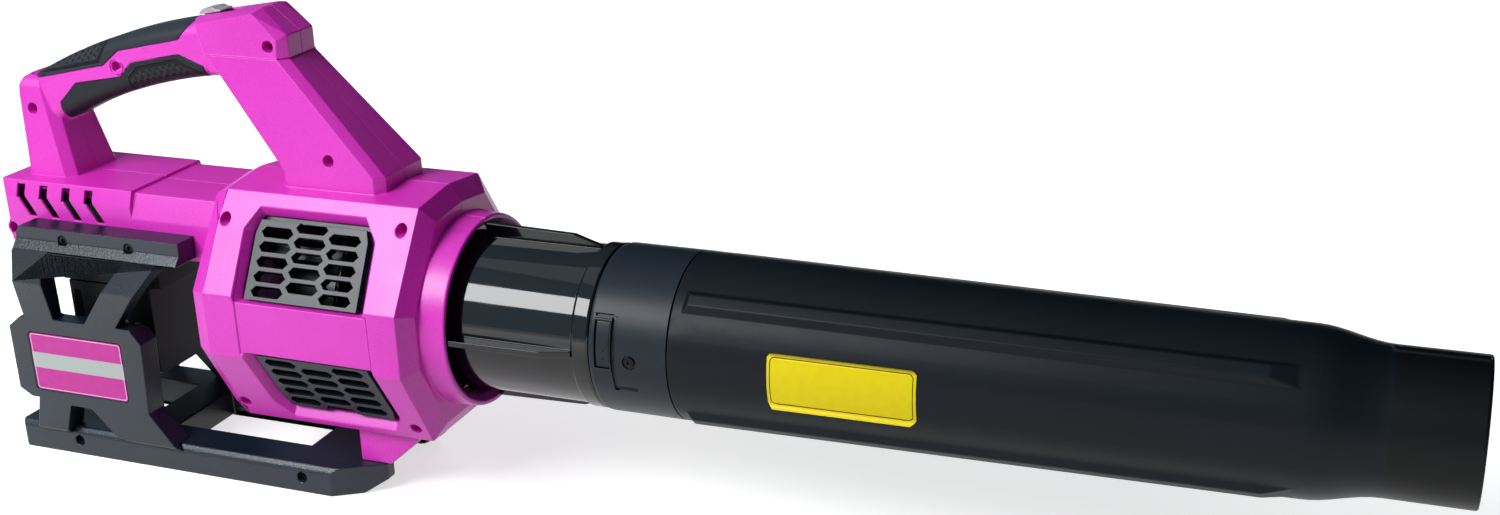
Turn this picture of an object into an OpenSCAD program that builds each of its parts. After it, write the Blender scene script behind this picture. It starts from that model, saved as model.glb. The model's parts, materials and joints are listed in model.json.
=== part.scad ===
// Cordless axial leaf blower on a skid base.
// Millimetres. +X is the way the air leaves, +Z is up and the skids stand on Z = 0.
// Inside the modules X = 0 is the joint between coupling and blow tube, and the tube axis is Z = 0.

/* [Blow tube] */
// Outside diameter where the tube meets its coupling
tube_d = 110; // [104:1:116]
// Outside diameter just before the shoulder
tube_tip_d = 101; // [96:1:104]
// Length of the straight run
tube_len = 376; // [250:1:420]
// Length of the shoulder down to the nozzle spigot
shoulder_len = 44; // [30:1:60]
// Outside diameter of the nozzle spigot
spigot_d = 87; // [80:1:92]
// Length of the nozzle spigot
spigot_len = 50; // [30:1:70]
// Wall of the tube and of its coupling
tube_wall = 2.4; // [2:0.1:3]
// Height of the stiffening ribs
rib_h = 3.6; // [2:0.1:5]
// Width of a rib at its foot
rib_w = 17; // [10:1:22]

/* [Coupling] */
// Length of the coupling collar that shows
coupling_len = 53; // [46:1:64]
// Length that the collar's sleeve reaches into the tube
sleeve_len = 24; // [15:1:35]
// Running clearance between collar and outlet duct, on the radius
coupling_fit = 0.1; // [0.05:0.01:0.1]
// Width of the release button along the collar
latch_w = 9.4; // [7:0.2:11]
// Length of the release button round the collar
latch_len = 30; // [20:1:32]
// Travel of the release button
latch_travel = 1.2; // [0.8:0.1:1.4]

/* [Outlet duct] */
// Length of duct that shows between housing and coupling
duct_show = 97; // [80:1:120]
// Wall of the duct
duct_wall = 2.5; // [2:0.1:3.5]
// Height of the duct's four fins
fin_h = 9.5; // [5:0.5:12]
// Thickness of a fin
fin_t = 4; // [3:0.5:6]
// Diameter over the inlet bell
bell_d = 126; // [118:1:132]

/* [Fan and motor] */
// Radial gap between blade tips and duct
tip_gap = 1; // [0.6:0.1:2]
// Number of fan blades
blade_count = 9; // [7:1:12]
// Number of stator vanes
vane_count = 7; // [5:1:9]
// Outside diameter of the motor can
motor_d = 62; // [50:1:70]
// Length of the motor can
motor_len = 44; // [36:1:50]
// Diameter of the motor shaft
shaft_d = 8; // [6:1:10]

/* [Fan drum] */
// Length of the drum between its edges
drum_len = 147; // [140:1:160]
// Width of the drum over its side faces
drum_w = 160; // [154:1:170]
// Height of the drum's roof ridge over the tube axis
drum_ridge = 86.4; // [84:0.2:92]
// Length of the slope behind the drum
drum_back_len = 12; // [8:1:16]
// Length of the slope in front of the drum
drum_front_len = 8; // [5:1:12]
// Length of the round collar in front of the drum
drum_collar_len = 18; // [12:1:24]
// Outside diameter of that collar at its lip
drum_collar_d = 130; // [128:1:138]
// Wall of the housing mouldings
shell_wall = 2.6; // [2:0.1:3.5]

/* [Intake grilles] */
// Depth of the grille's flange below the drum's faces
grille_depth = 9; // [8:0.5:10]
// Thickness of the grille's flange
grille_t = 2.2; // [2:0.1:2.8]
// Height of the grille's slotted panels over the flange
grille_rise = 5; // [3:0.5:6]
// Length of a window along the drum
window_len = 101; // [90:1:110]
// Length of a grille slot
slot_len = 24.4; // [18:0.2:25]
// Height of a grille slot
slot_h = 7; // [4:0.2:8]
// Distance from slot to slot along a column
slot_pitch = 10.1; // [9:0.1:11]

/* [Deck and bay] */
// Length of the rear deck block
deck_len = 113; // [100:1:125]
// Length of the neck between deck and drum
neck_len = 70; // [60:1:84]
// Width of the deck over its side walls
deck_w = 84; // [80:1:90]
// Height of the deck's top over the tube axis
deck_top = 72; // [68:1:78]
// Height of the deck's floor over the tube axis
deck_floor = 27; // [24:1:30]
// Width of a vent slot in the deck
vent_w = 6.6; // [4:0.2:8]

/* [Handle] */
// Radius of the grip's arch at mid height
grip_r = 419.5; // [400:0.5:460]
// Depth of the grip from top to bottom
grip_h = 39; // [34:0.5:44]
// Width of the grip
grip_w = 37; // [32:0.5:42]
// Thickness of the soft grip pads
pad_t = 2; // [1.5:0.1:3]
// Height of the handle's highest point over the tube axis
crest_z = 200; // [190:1:215]
// Travel of the speed slider
slider_travel = 14; // [8:1:18]

/* [Skid base and cages] */
// Height of the tube axis over the ground
axis_z = 128; // [124:1:136]
// Height of the skids
skid_h = 21; // [16:1:26]
// Width of the base over the skids
base_w = 120; // [112:1:126]
// Width of one skid
skid_w = 29; // [24:1:34]
// Width over the two cages at their plates
cage_w = 130; // [124:1:136]
// Depth of a cage's plate and legs, inwards
cage_t = 17; // [14:0.5:20]
// Depth of a cage's struts, inwards
strut_t = 10; // [8:0.5:13]
// Length of a cage's plate
plate_len = 115; // [108:1:120]

/* [Battery pack] */
// Length of the battery pack
pack_len = 70; // [68:1:84]
// Width of the battery pack
pack_w = 76; // [75:1:78]
// Height of the pack under its dock
pack_h = 66; // [60:1:76]
// Diameter of one cell
cell_d = 21; // [18:0.5:21]
// Length of one cell
cell_len = 70; // [65:1:70]

/* [Fasteners] */
// Diameter of the housing screws
screw_d = 4; // [3:0.5:5]
// Diameter of a housing screw's head
head_d = 7.4; // [6.4:0.1:8.4]
// Play of a screw head in its sunk hole, on the diameter
head_play = 0.6; // [0.4:0.1:1]

/* [Hidden] */
$fn = 64;
e = 0.05;
gap = 0.3;
right = -1;
left = 1;

// Stations along the tube axis, from the nozzle back to the rear of the deck
tube_tip_x = tube_len;
shoulder_x = tube_tip_x + shoulder_len;
nozzle_x = shoulder_x + spigot_len;
coupling_x = -coupling_len;
lip_x = coupling_x - duct_show;
collar_x = lip_x - drum_collar_len;
drum_front_x = collar_x - drum_front_len;
drum_rear_x = drum_front_x - drum_len;
neck_x = drum_rear_x - drum_back_len;
deck_x = neck_x - neck_len;
rear_x = deck_x - deck_len;
centre_x = -(nozzle_x + rear_x) / 2;

// Radii shared by tube, collar and duct
tube_r = tube_d / 2;
bore_r = tube_r - tube_wall;
duct_r = bore_r - coupling_fit;
duct_in_r = duct_r - duct_wall;
fan_r = duct_in_r - tip_gap;
tube_taper = atan((tube_d - tube_tip_d) / 2 / tube_len);
sleeve_r = bore_r - 0.1 - sleeve_len * tan(tube_taper);

// Release button: its place, and the track round the duct that its finger runs in
latch_x = coupling_x + 9.5;
latch_angle = 10;
latch_play = 0.4;
track_w = latch_w + 1.2;
track_r = duct_r - latch_travel - 0.2;
button_r = duct_r + 0.35;
// Depth of the grooves and screw sinks in the collar
mark_t = 1.4;
// Seal ring in its groove behind the duct's end
seal_x = -26;
seal_r = duct_r - 0.65;

// Drum section, counter-clockwise seen from the nozzle, and its shrunken copies
drum_y = drum_w / 2;
drum_crease = 21.6;
roof_y = 39;
roof_z = drum_ridge - 4.4;
keel_y = 48;
keel_z = -80;
drum_section = [
    [drum_y, -drum_crease], [drum_y, drum_crease], [roof_y, roof_z], [0, drum_ridge],
    [-roof_y, roof_z], [-drum_y, drum_crease], [-drum_y, -drum_crease],
    [-keel_y, keel_z], [keel_y, keel_z]
];

// Places of the intake windows: middle along the drum, and reach up the slanted faces
window_x = drum_front_x - 72;
window_top = 63;
window_chamfer = 16;
window_lean = 0.06;
window_slope = 4;
frame_wall = 2.2;
band_top = 18;
band_step = 0.8;

// Deck, handle and screws
deck_y = deck_w / 2;
rail_y = 60;
cage_y = cage_w / 2;
bulge = 5;
skid_y = base_w / 2;
skid_top = skid_h - axis_z;
ground = -axis_z;
foot_front_x = drum_front_x - 41;
seat_y = 9;
sink_d = head_d + head_play;
boss_wall = 1.5;
// Screws of the housing: [x, z, distance from the middle plane to the skin]
housing_holes = [
    [drum_rear_x + 4, 64.6, 52], [drum_front_x - 9, 68.7, 50],
    [drum_rear_x + 4, -67, 57], [drum_front_x - 9, -69, 56],
    [drum_rear_x + 74, drum_ridge + 17, 28], [drum_rear_x + 32, crest_z - 24, 20],
    [deck_x - 13, crest_z - 46, 19], [rear_x + 22.5, deck_top + 47.5, 23], [rear_x + 7, 36.5, deck_y]
];
// Play between a grip pad and its pocket
pad_play = 0.15;
// Centre of the grip's arch, and the angles from the vertical where the grip ends
arch_x = drum_rear_x + 31;
arch_z = crest_z - 26.5 - grip_r;
grip_a0 = asin((arch_x - drum_rear_x + 20) / grip_r);
grip_a1 = asin((arch_x - rear_x - 26) / grip_r);
pillar_z = arch_z + grip_r * cos(grip_a1) + 7;
// Width of the cut front edges of pillar and strut, along X
post_cut = 6.6;

// Fan and motor stations
fan_x = drum_front_x - 44;
fan_len = 28;
hub_d = 44;
bell_x = fan_x - 12;
motor_x = bell_x - 14 - motor_len;
vane_x = fan_x + fan_len + 5;
vane_len = 30;

// Battery bay
pack_x = rear_x + 45;
dock_len = pack_len + 15;
dock_bottom = 0;
pack_y = pack_w / 2;
pack_floor = dock_bottom - gap - pack_h;
rail_head = 46;
rail_stem = 34;
plate_floor = -84;
plate_top = -21;
terminals_y = [-15, -5, 5, 15];

// ---------- helpers ----------

// Puts the working frame into the part's own frame
module placed() translate([centre_x, 0, axis_z]) children();

// Extrudes a [Y, Z] section along X from x0
module along_x(x0, len) translate([x0, 0, 0]) rotate([90, 0, 90]) linear_extrude(len) children();

// Extrudes an [X, Z] outline along Y between y0 and y1
module along_y(y0, y1) translate([0, y1, 0]) rotate([90, 0, 0]) linear_extrude(y1 - y0) children();

// Cylinder along X
module rod_x(x0, len, r) translate([x0, 0, 0]) rotate([0, 90, 0]) cylinder(h = len, r = r);

// Tube along X
module pipe_x(x0, len, r, r_in) difference() {
    rod_x(x0, len, r);
    rod_x(x0 - e, len + 2 * e, r_in);
}

// Cylinder along Y at [x, z], between y0 and y1
module rod_y(x, z, y0, y1, r) translate([x, y1, z]) rotate([90, 0, 0]) cylinder(h = y1 - y0, r = r);

// Box between two corners
module block(a, b) translate(a) cube([b[0] - a[0], b[1] - a[1], b[2] - a[2]]);

// Keeps the half of the children on one side of the middle plane
module half(side) intersection() {
    children();
    block([rear_x - 20, side < 0 ? -200 : 0, -200], [nozzle_x + 20, side < 0 ? 0 : 200, 300]);
}

// Mirrors the children from the right, Y < 0, to the given side
module sided(side) mirror([0, side > 0 ? 1 : 0, 0]) children();

// Crossing of two lines given as normal and distance
function crossing(n1, d1, n2, d2) = let (k = n1[0] * n2[1] - n1[1] * n2[0])
    [(d1 * n2[1] - d2 * n1[1]) / k, (n1[0] * d2 - n2[0] * d1) / k];

// Outward normal of edge i of a counter-clockwise outline
function edge_normal(p, i) = let (a = p[i], b = p[(i + 1) % len(p)], l = norm(b - a))
    [(b[1] - a[1]) / l, (a[0] - b[0]) / l];

// Outline moved inwards by d
function inset(p, d) = [for (i = [0:len(p) - 1]) let (
    j = (i + len(p) - 1) % len(p), n1 = edge_normal(p, j), n2 = edge_normal(p, i))
    crossing(n1, n1 * p[i] - d, n2, n2 * p[i] - d)];

// Rectangle with all four corners cut, centred on the origin
function octagon(w, h, cx, cy) = [
    [w / 2, cy - h / 2], [w / 2, h / 2 - cy], [w / 2 - cx, h / 2], [cx - w / 2, h / 2],
    [-w / 2, h / 2 - cy], [-w / 2, cy - h / 2], [cx - w / 2, -h / 2], [w / 2 - cx, -h / 2]];

// ---------- housing ----------

// Slice of the drum for its sloped ends
module drum_slice(x, d) along_x(x, e) polygon(inset(drum_section, d));

module drum_body(d) {
    along_x(drum_rear_x + d, drum_len - 2 * d) polygon(inset(drum_section, d));
    hull() {
        drum_slice(drum_rear_x + d, d);
        drum_slice(neck_x + d, d + 6);
    }
    hull() {
        drum_slice(drum_front_x - d - e, d);
        drum_slice(collar_x - d, d + 12);
    }
}

// Round collar round the duct, with a lip that slopes into the bore
module drum_collar() translate([collar_x - e, 0, 0]) rotate([0, 90, 0]) rotate_extrude()
    polygon([[duct_r + 5.4, -4], [drum_collar_d / 2 + 1, -4], [drum_collar_d / 2, drum_collar_len - 1],
        [drum_collar_d / 2 - 1, drum_collar_len], [drum_collar_d / 2 - 3, drum_collar_len],
        [duct_r + 5.4, drum_collar_len - 5]]);

// Deck section in [Y, Z]: flat top, sloped shoulders, upright sides
function deck_section(top, shoulder, flat, d) = [
    [deck_y - d, deck_floor + d], [deck_y - d, shoulder], [deck_y - flat - d * 0.8, top - d],
    [flat - deck_y + d * 0.8, top - d], [d - deck_y, shoulder], [d - deck_y, deck_floor + d]];

module deck_body(d) {
    intersection() {
        along_x(rear_x + d, deck_len - 2 * d) polygon(deck_section(deck_top, deck_top - 11.5, 4, d));
        translate([0, 0, deck_floor]) linear_extrude(60)
            polygon([[rear_x, 5 - deck_y], [rear_x + 5, -deck_y], [deck_x + e, -deck_y],
                [deck_x + e, deck_y], [rear_x + 5, deck_y], [rear_x, deck_y - 5]]);
    }
    along_x(deck_x - 4 * d - e, neck_len + 8 * d + 8) polygon(deck_section(deck_top - 2, deck_top - 19, 7, d));
}

// Foot under the drum's front that stands on the skids
module foot_body(d) along_y(d - 40, 40 - d)
    polygon([[foot_front_x - 23 + d, -70], [foot_front_x - 23 + d, skid_top + d],
        [foot_front_x - d, skid_top + d], [foot_front_x + 26 - d, -84], [foot_front_x + 26 - d, -70]]);

// Section of the grip in [radius, Y] about the arch, d under its skin
module grip_section(d) translate([grip_r, 0]) {
    square([grip_h - 2 * d, grip_w - 22], center = true);
    square([grip_h - 22, grip_w - 2 * d], center = true);
    for (u = [-1, 1], v = [-1, 1])
        translate([u * (grip_h / 2 - 11), v * (grip_w / 2 - 11)]) circle(r = 11 - d, $fn = 48);
}

// Stretch of the grip between two angles from the vertical
module grip_arc(a0, a1, d) translate([arch_x, 0, arch_z]) rotate([90, 0, 0])
    rotate([0, 0, 90 + a0]) rotate_extrude(angle = a1 - a0, $fn = 720) grip_section(d);

// Flat-sided outline of a pillar or strut: rear face at x0, front face at x1, half width y, edges cut
module post_outline(x0, x1, y) polygon([
    [x0, 4 - y], [x0 + 4, -y], [x1 - post_cut, -y], [x1, 6 - y], [x1, y - 6],
    [x1 - post_cut, y], [x0 + 4, y], [x0, y - 4]]);

module post_slice(x0, x1, y, z) translate([0, 0, z]) linear_extrude(e) post_outline(x0, x1, y);

// Pillar at the rear of the grip, with a round shoulder up into the grip
module rear_pillar() hull() {
    post_slice(rear_x + 13, rear_x + 54, 26.5, deck_top - 4);
    post_slice(rear_x + 8.5, rear_x + 38, 20, pillar_z);
    post_slice(rear_x + 8.8, rear_x + 36.7, 19.5, pillar_z + 5);
    post_slice(rear_x + 11.5, rear_x + 35.4, 17, pillar_z + 10);
    post_slice(rear_x + 16.5, rear_x + 34.6, 13.5, pillar_z + 13);
    post_slice(rear_x + 22, rear_x + 34.1, 8, pillar_z + 14.8);
}

// Slanted strut from the crest down to its upright foot on the drum's roof
module front_strut() {
    hull() {
        post_slice(drum_rear_x + 35.5, drum_front_x - 33, 28.5, drum_ridge + 8);
        post_slice(drum_rear_x - 21, drum_rear_x + 44.5, 21, crest_z - 32);
    }
    translate([0, 0, drum_ridge - 14]) linear_extrude(22 + e)
        post_outline(drum_rear_x + 35.5, drum_front_x - 33, 28.5);
}

// Thick front end of the grip, with its raised crest
module crest_block() hull() {
    along_y(-10, 10) polygon([[drum_rear_x - 29, crest_z - 9], [drum_rear_x + 24, crest_z],
        [drum_rear_x + 30, crest_z - 4.8], [drum_rear_x - 16, crest_z - 48]]);
    along_y(-14.5, 14.5) polygon([[drum_rear_x - 28, crest_z - 11], [drum_rear_x + 44.5, crest_z - 16.5],
        [drum_rear_x + 44.5, crest_z - 31.9], [drum_rear_x - 16, crest_z - 48]]);
    along_y(-20.5, 20.5) polygon([[drum_rear_x - 24, crest_z - 12], [drum_rear_x + 22, crest_z - 2.5],
        [drum_rear_x + 39, crest_z - 20], [drum_rear_x + 38, crest_z - 31.9], [drum_rear_x - 16, crest_z - 45]]);
}

// Side outlines of the soft pads, counter-clockwise in [X, Z]
top_pad_side = [
    [18, -30], [20, -57], [28, -59], [55, -53], [88, -46], [102, -35],
    [154, -24], [159, -18], [167, -9], [166, 10], [60, 0]];
bottom_pad_side = [
    [47, -95], [110, -78], [172, -60], [172, -41], [153, -34],
    [112, -42], [101, -53], [62, -60], [46, -75]];

// What the pads of one outline take away from the skin of the grip
module pad_space(side) difference() {
    translate([rear_x, 0, crest_z]) along_y(-22, 22) polygon(side);
    grip_arc(0, 40, pad_t);
}

// Sloped vent slots round the deck's shoulder
module deck_vents() for (i = [0:3]) translate([rear_x + 14.5 + i * 19.6, 0, 0]) {
    block([0, -deck_y - 3, deck_top - 12.5], [vent_w, -deck_y + 8, deck_top - 3]);
    along_y(-deck_y - 3, -deck_y + 5)
        polygon([[0, deck_top - 10], [vent_w, deck_top - 10], [vent_w + 9.5, deck_top - 25], [9.5, deck_top - 25]]);
}

// Frame of a slanted face of the drum: X along the drum, Y up the face, Z outwards
module face_frame(upper) {
    a = atan2(roof_z - drum_crease, drum_y - roof_y);
    b = atan2(-drum_crease - keel_z, drum_y - keel_y);
    if (upper) translate([window_x, -drum_y, drum_crease]) rotate([a, 0, 0]) children();
    if (!upper) translate([window_x, -drum_y, -drum_crease]) mirror([0, 0, 1]) rotate([b, 0, 0]) children();
}

// How far a point v up a slanted face shifts, so that the window's ends lean forward downwards
function lean(upper, v) = (upper ? -window_lean : window_lean) * (v + 26);

// Outline of an intake window on its slanted face, grown by g
module window_outline(upper, g) {
    top = upper ? window_top : window_top - 2;
    polygon([for (p = [
        [-window_len / 2 - g, -6], [window_len / 2 + g, -6], [window_len / 2 + g, top - window_chamfer],
        [window_len / 2 - 10, top + g], [10 - window_len / 2, top + g],
        [-window_len / 2 - g, top - window_chamfer]]) [p[0] + lean(upper, p[1]), p[1]]]);
}

// Straight prism over a window's outline, from below the grille to above the face
module window_prism(upper, g) difference() {
    face_frame(upper) translate([0, 0, -grille_depth - 5])
        linear_extrude(grille_depth + 15) window_outline(upper, g);
    block([rear_x, -drum_y - 20, -band_top + g], [0, 0, band_top - g]);
}

// The opening of a window, whose walls slope inwards down to the grille
module window_opening(upper) difference() {
    union() {
        face_frame(upper) hull() {
            linear_extrude(10) window_outline(upper, 0);
            translate([0, 0, 2 - grille_depth]) linear_extrude(e) window_outline(upper, -window_slope);
        }
        face_frame(upper) translate([0, 0, -grille_depth - 5]) linear_extrude(grille_depth + 5)
            window_outline(upper, -window_slope);
    }
    block([rear_x, -drum_y - 20, -band_top], [0, 0, band_top]);
}

// Walls of the windows, from the drum's face down to the grille
module window_frames(side) intersection() {
    difference() {
        along_x(drum_rear_x + 4, drum_len - 8) polygon(drum_section);
        along_x(drum_rear_x, drum_len) polygon(inset(drum_section, grille_depth));
    }
    sided(side) {
        window_prism(true, frame_wall);
        window_prism(false, frame_wall);
    }
}

module housing_outer() {
    drum_body(0);
    drum_collar();
    deck_body(0);
    foot_body(0);
    rear_pillar();
    front_strut();
    crest_block();
    grip_arc(grip_a0, grip_a1, 0);
}

module housing_inner() {
    drum_cavity();
    deck_body(shell_wall);
    foot_body(shell_wall);
    grip_arc(grip_a0 - 2, grip_a1, 6);
    along_y(-14, 14) polygon([[rear_x + 17, deck_top - 5], [rear_x + 46, deck_top - 5],
        [rear_x + 34, pillar_z - 6], [rear_x + 15, pillar_z - 6]]);
    thumb_frame() block([-4, -9.6, -32], [slider_l + 18, 9.6, -15]);
    along_y(-14, 14) polygon([[drum_rear_x + 42, drum_ridge - 12], [drum_front_x - 44, drum_ridge - 12],
        [drum_front_x - 44, drum_ridge + 4], [drum_rear_x + 32, crest_z - 32], [drum_rear_x - 12, crest_z - 32],
        [drum_rear_x + 42, drum_ridge + 6]]);
}

module drum_cavity() {
    along_x(neck_x + shell_wall, drum_len + drum_back_len - 2 * shell_wall)
        polygon(inset(drum_section, shell_wall + 6));
    along_x(drum_rear_x + shell_wall, drum_len - 2 * shell_wall)
        polygon(inset(drum_section, shell_wall));
}

module housing_bosses() intersection() {
    housing_core();
    union() {
        for (h = housing_holes) rod_y(h[0], h[1], -h[2] - 9, h[2] + 9, sink_d / 2 + boss_wall);
        for (h = cage_holes, s = [right, left])
            sided(s) rod_y(h[0], h[1], -deck_y, -deck_y + 11, screw_d / 2 + 2.5);
    }
}

// Coarse core of the housing that bounds its bosses
module housing_core() {
    along_x(drum_rear_x - 6, drum_len + 12) polygon(inset(drum_section, 0.4));
    along_x(rear_x + 0.5, deck_len + neck_len) polygon(deck_section(deck_top, deck_top - 11.5, 4, 0.4));
    along_y(-19, 19) polygon([[rear_x + 9, 60], [drum_front_x, 60], [drum_rear_x + 70, crest_z - 50],
        [drum_rear_x + 40, crest_z - 12], [rear_x + 36, crest_z - 40], [rear_x + 16.5, pillar_z + 4]]);
}

module housing(side) half(side) difference() {
    union() {
        difference() {
            housing_outer();
            housing_inner();
        }
        window_frames(side);
        housing_bosses();
    }
    sided(side) {
        window_opening(true);
        window_opening(false);
        block([window_x - window_len / 2, -drum_y - 1, -band_top - 1],
            [window_x + window_len / 2, -drum_y + band_step, band_top + 1]);
    }
    deck_vents();
    sided(left) deck_vents();
    pad_space(top_pad_side);
    pad_space(bottom_pad_side);
    rod_x(collar_x - 20, 60, duct_r + 5.4);
    for (h = housing_holes) {
        rod_y(h[0], h[1], -h[2] - 12, -seat_y, sink_d / 2);
        rod_y(h[0], h[1], -seat_y - e, seat_y, screw_d / 2 + 0.05);
    }
    for (h = cage_holes, s = [right, left])
        sided(s) rod_y(h[0], h[1], -deck_y - 1, -deck_y + 14, screw_d / 2 + 0.05);
    slider_slot();
}

module housing_right() color("magenta") placed() housing(right);
module housing_left() color("magenta") placed() housing(left);

// Cap screw along Y: head against -Y side of the seat
module screw_y(x, z, y_seat, len) {
    rod_y(x, z, y_seat - e, y_seat + len, screw_d / 2 - 0.05);
    difference() {
        rod_y(x, z, y_seat - 3, y_seat, head_d / 2);
        translate([x, y_seat - 3 - e, z]) rotate([-90, 0, 0]) cylinder(h = 1.8, r = 1.7, $fn = 6);
    }
}

module housing_screws() color("dimgray") placed()
    for (h = housing_holes) screw_y(h[0], h[1], -seat_y, 2 * seat_y - 1);

// ---------- intake grilles ----------

// Slot with pointed ends, centred
module slot_outline() polygon([
    [-slot_len / 2, 0], [3 - slot_len / 2, -slot_h / 2], [slot_len / 2 - 3, -slot_h / 2],
    [slot_len / 2, 0], [slot_len / 2 - 3, slot_h / 2], [3 - slot_len / 2, slot_h / 2]]);

// Three columns of slots up one slanted face
module slot_field(upper) face_frame(upper) translate([0, 0, -grille_depth - grille_t - 3])
    linear_extrude(grille_rise + grille_t + 6) for (c = [-1:1], r = [0:4])
        translate([c * (slot_len + 1.6) + lean(upper, slot_v(c, r)) - 0.5, slot_v(c, r)]) slot_outline();

// Height of slot r up the face: the middle column lies half a pitch higher
function slot_v(c, r) = 6.8 + r * slot_pitch + (c == 0 ? slot_pitch / 2 : 0);

module grille_shell() intersection() {
    difference() {
        along_x(window_x - window_len / 2 - 4, window_len + 8)
            polygon(inset(drum_section, grille_depth + 0.1));
        along_x(window_x - window_len, 2 * window_len)
            polygon(inset(drum_section, grille_depth + grille_t));
    }
    union() {
        window_prism(true, 1);
        window_prism(false, 1);
        block([window_x - window_len / 2 + 2, -drum_y, -band_top - 4],
            [window_x + window_len / 2 - 2, 0, band_top + 4]);
    }
}

module grille() difference() {
    union() {
        grille_shell();
        grille_panel(true);
        grille_panel(false);
    }
    slot_field(true);
    slot_field(false);
}

// Raised slotted panel of one window, clear of the window's sloped walls
module grille_panel(upper) difference() {
    face_frame(upper) translate([0, 0, -grille_depth - 1]) linear_extrude(grille_rise + 1)
        window_outline(upper, -window_slope - 3.5);
    block([rear_x, -drum_y - 20, -band_top - 2], [0, 0, band_top + 2]);
}

module intake_grille_right() color("darkslategray") placed() grille();
module intake_grille_left() color("darkslategray") placed() sided(left) grille();

// ---------- grip pads ----------

// Pad of the given side outline, a little smaller than its pocket
module grip_pad(side, outline) half(side) difference() {
    intersection() {
        grip_arc(2, 30, 0);
        translate([rear_x, 0, crest_z]) along_y(-22, 22) polygon(inset(outline, pad_play));
    }
    grip_arc(0, 40, pad_t - pad_play);
}

module grip_pad_top_right() color("black") placed() grip_pad(right, top_pad_side);
module grip_pad_top_left() color("black") placed() grip_pad(left, top_pad_side);
module grip_pad_bottom_right() color("black") placed() grip_pad(right, bottom_pad_side);
module grip_pad_bottom_left() color("black") placed() grip_pad(left, bottom_pad_side);

// ---------- speed control ----------

slider_tilt = -atan2(9, 53);
slider_w = 14;
slider_l = 20;

// Frame of the sloped top between grip and crest: X forwards along it, Z off it
module thumb_frame() translate([drum_rear_x - 29, 0, crest_z - 9]) rotate([0, slider_tilt, 0]) children();

module slider_slot() thumb_frame()
    block([0, -6, -16], [slider_l - 6 + slider_travel, 6, 4]);

module speed_slider() color("lightgray") placed() thumb_frame() {
    block([3, -5.7, -9], [slider_l - 9, 5.7, 1.4]);
    along_y(-slider_w / 2, slider_w / 2)
        polygon([[-1, 0.6], [slider_l - 2, 0.6], [slider_l - 3, 1.8], [slider_l - 6, 2.3],
            [slider_l - 8.5, 4], [3, 4], [0, 2]]);
}

module speed_switch() color("gray") placed() thumb_frame() {
    difference() {
        block([-2, -9, -30], [slider_l + 16, 9, -16.3]);
        block([2, -3, -20], [slider_l + 4, 3, -16]);
    }
}

// ---------- electronics ----------

module controller_board() color("green") placed() {
    block([rear_x + 16, -30, deck_floor + 8], [deck_x - 14, 30, deck_floor + 9.6]);
    for (i = [0:5])
        block([rear_x + 26 + i * 11, 12, deck_floor + 9.6], [rear_x + 33 + i * 11, 24, deck_floor + 14]);
    for (i = [0:1]) translate([rear_x + 38 + i * 26, -16, deck_floor + 9.6]) cylinder(h = 16, r = 8);
    for (x = [rear_x + 20, deck_x - 19], y = [-26, 26])
        translate([x, y, deck_floor + shell_wall]) cylinder(h = 8 - shell_wall, r = 3);
}

module heat_sink() color("silver") placed() {
    block([rear_x + 24, 10.5, deck_floor + 14.2], [rear_x + 90, 25, deck_floor + 16.4]);
    for (i = [0:10])
        block([rear_x + 24 + i * 6.4, 10.5, deck_floor + 16.3], [rear_x + 26 + i * 6.4, 25, deck_floor + 25]);
}

// ---------- air path ----------

module duct_profile() polygon([
    [duct_in_r, bell_x + 10], [duct_in_r + 3, bell_x + 3], [bell_d / 2 - 1, bell_x - 3],
    [bell_d / 2, bell_x], [duct_in_r + 6, bell_x + 6], [duct_r, bell_x + 14],
    [duct_r, collar_x - 2], [duct_r + 5, collar_x - 2], [duct_r + 5, collar_x + 4], [duct_r, collar_x + 4],
    [duct_r, coupling_x - 13.2], [duct_r + 1.9, coupling_x - 11.6], [duct_r + 1.9, coupling_x - 2.2],
    [duct_r + 0.7, coupling_x - 0.6], [duct_r, coupling_x - 0.6],
    [duct_r, latch_x - track_w / 2], [track_r, latch_x - track_w / 2],
    [track_r, latch_x + track_w / 2], [duct_r, latch_x + track_w / 2], [duct_r, seal_x - 1],
    [seal_r - 0.75, seal_x - 1], [seal_r - 0.75, seal_x + 1], [duct_r, seal_x + 1],
    [duct_r - 0.4, -13], [duct_in_r, -12]]);

// Straight fin on the duct with a sloped front end
module duct_fin() along_y(-fin_t / 2, fin_t / 2)
    polygon([[lip_x + 0.4, duct_r - 1], [lip_x + 0.4, duct_r + fin_h], [coupling_x - 32, duct_r + fin_h - 1.6],
        [coupling_x - 13, duct_r + 2], [coupling_x - 13, duct_r - 1]]);

// Curved vane or blade: a slice of a leaning tube wall between two radii
module blade(x0, len, r0, r1, lean, t) intersection() {
    difference() {
        rod_x(x0, len, r1);
        rod_x(x0 - e, len + 2 * e, r0);
    }
    translate([x0 + len / 2, 0, 0]) rotate([0, 0, lean])
        translate([-len, -t / 2, 0]) cube([2 * len, t, r1 + 10]);
}

module outlet_duct() color("black") placed() {
    rotate([0, 90, 0]) rotate_extrude() duct_profile();
    for (i = [0:3]) rotate([i * 90, 0, 0]) duct_fin();
    for (i = [0:vane_count - 1]) rotate([i * 360 / vane_count, 0, 0])
        blade(vane_x, vane_len, hub_d / 2 - 3, duct_in_r + 0.4, 12, 2);
    difference() {
        rod_x(vane_x, vane_len, hub_d / 2);
        rod_x(vane_x - e, vane_len - 2.4, hub_d / 2 - 2.5);
    }
    translate([vane_x + vane_len, 0, 0]) rotate([0, 90, 0]) cylinder(h = 18, r1 = hub_d / 2, r2 = 6);
}

module duct_seal() color("black") placed() rotate([0, 90, 0]) rotate_extrude()
    translate([seal_r, seal_x]) circle(r = 0.7);

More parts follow.
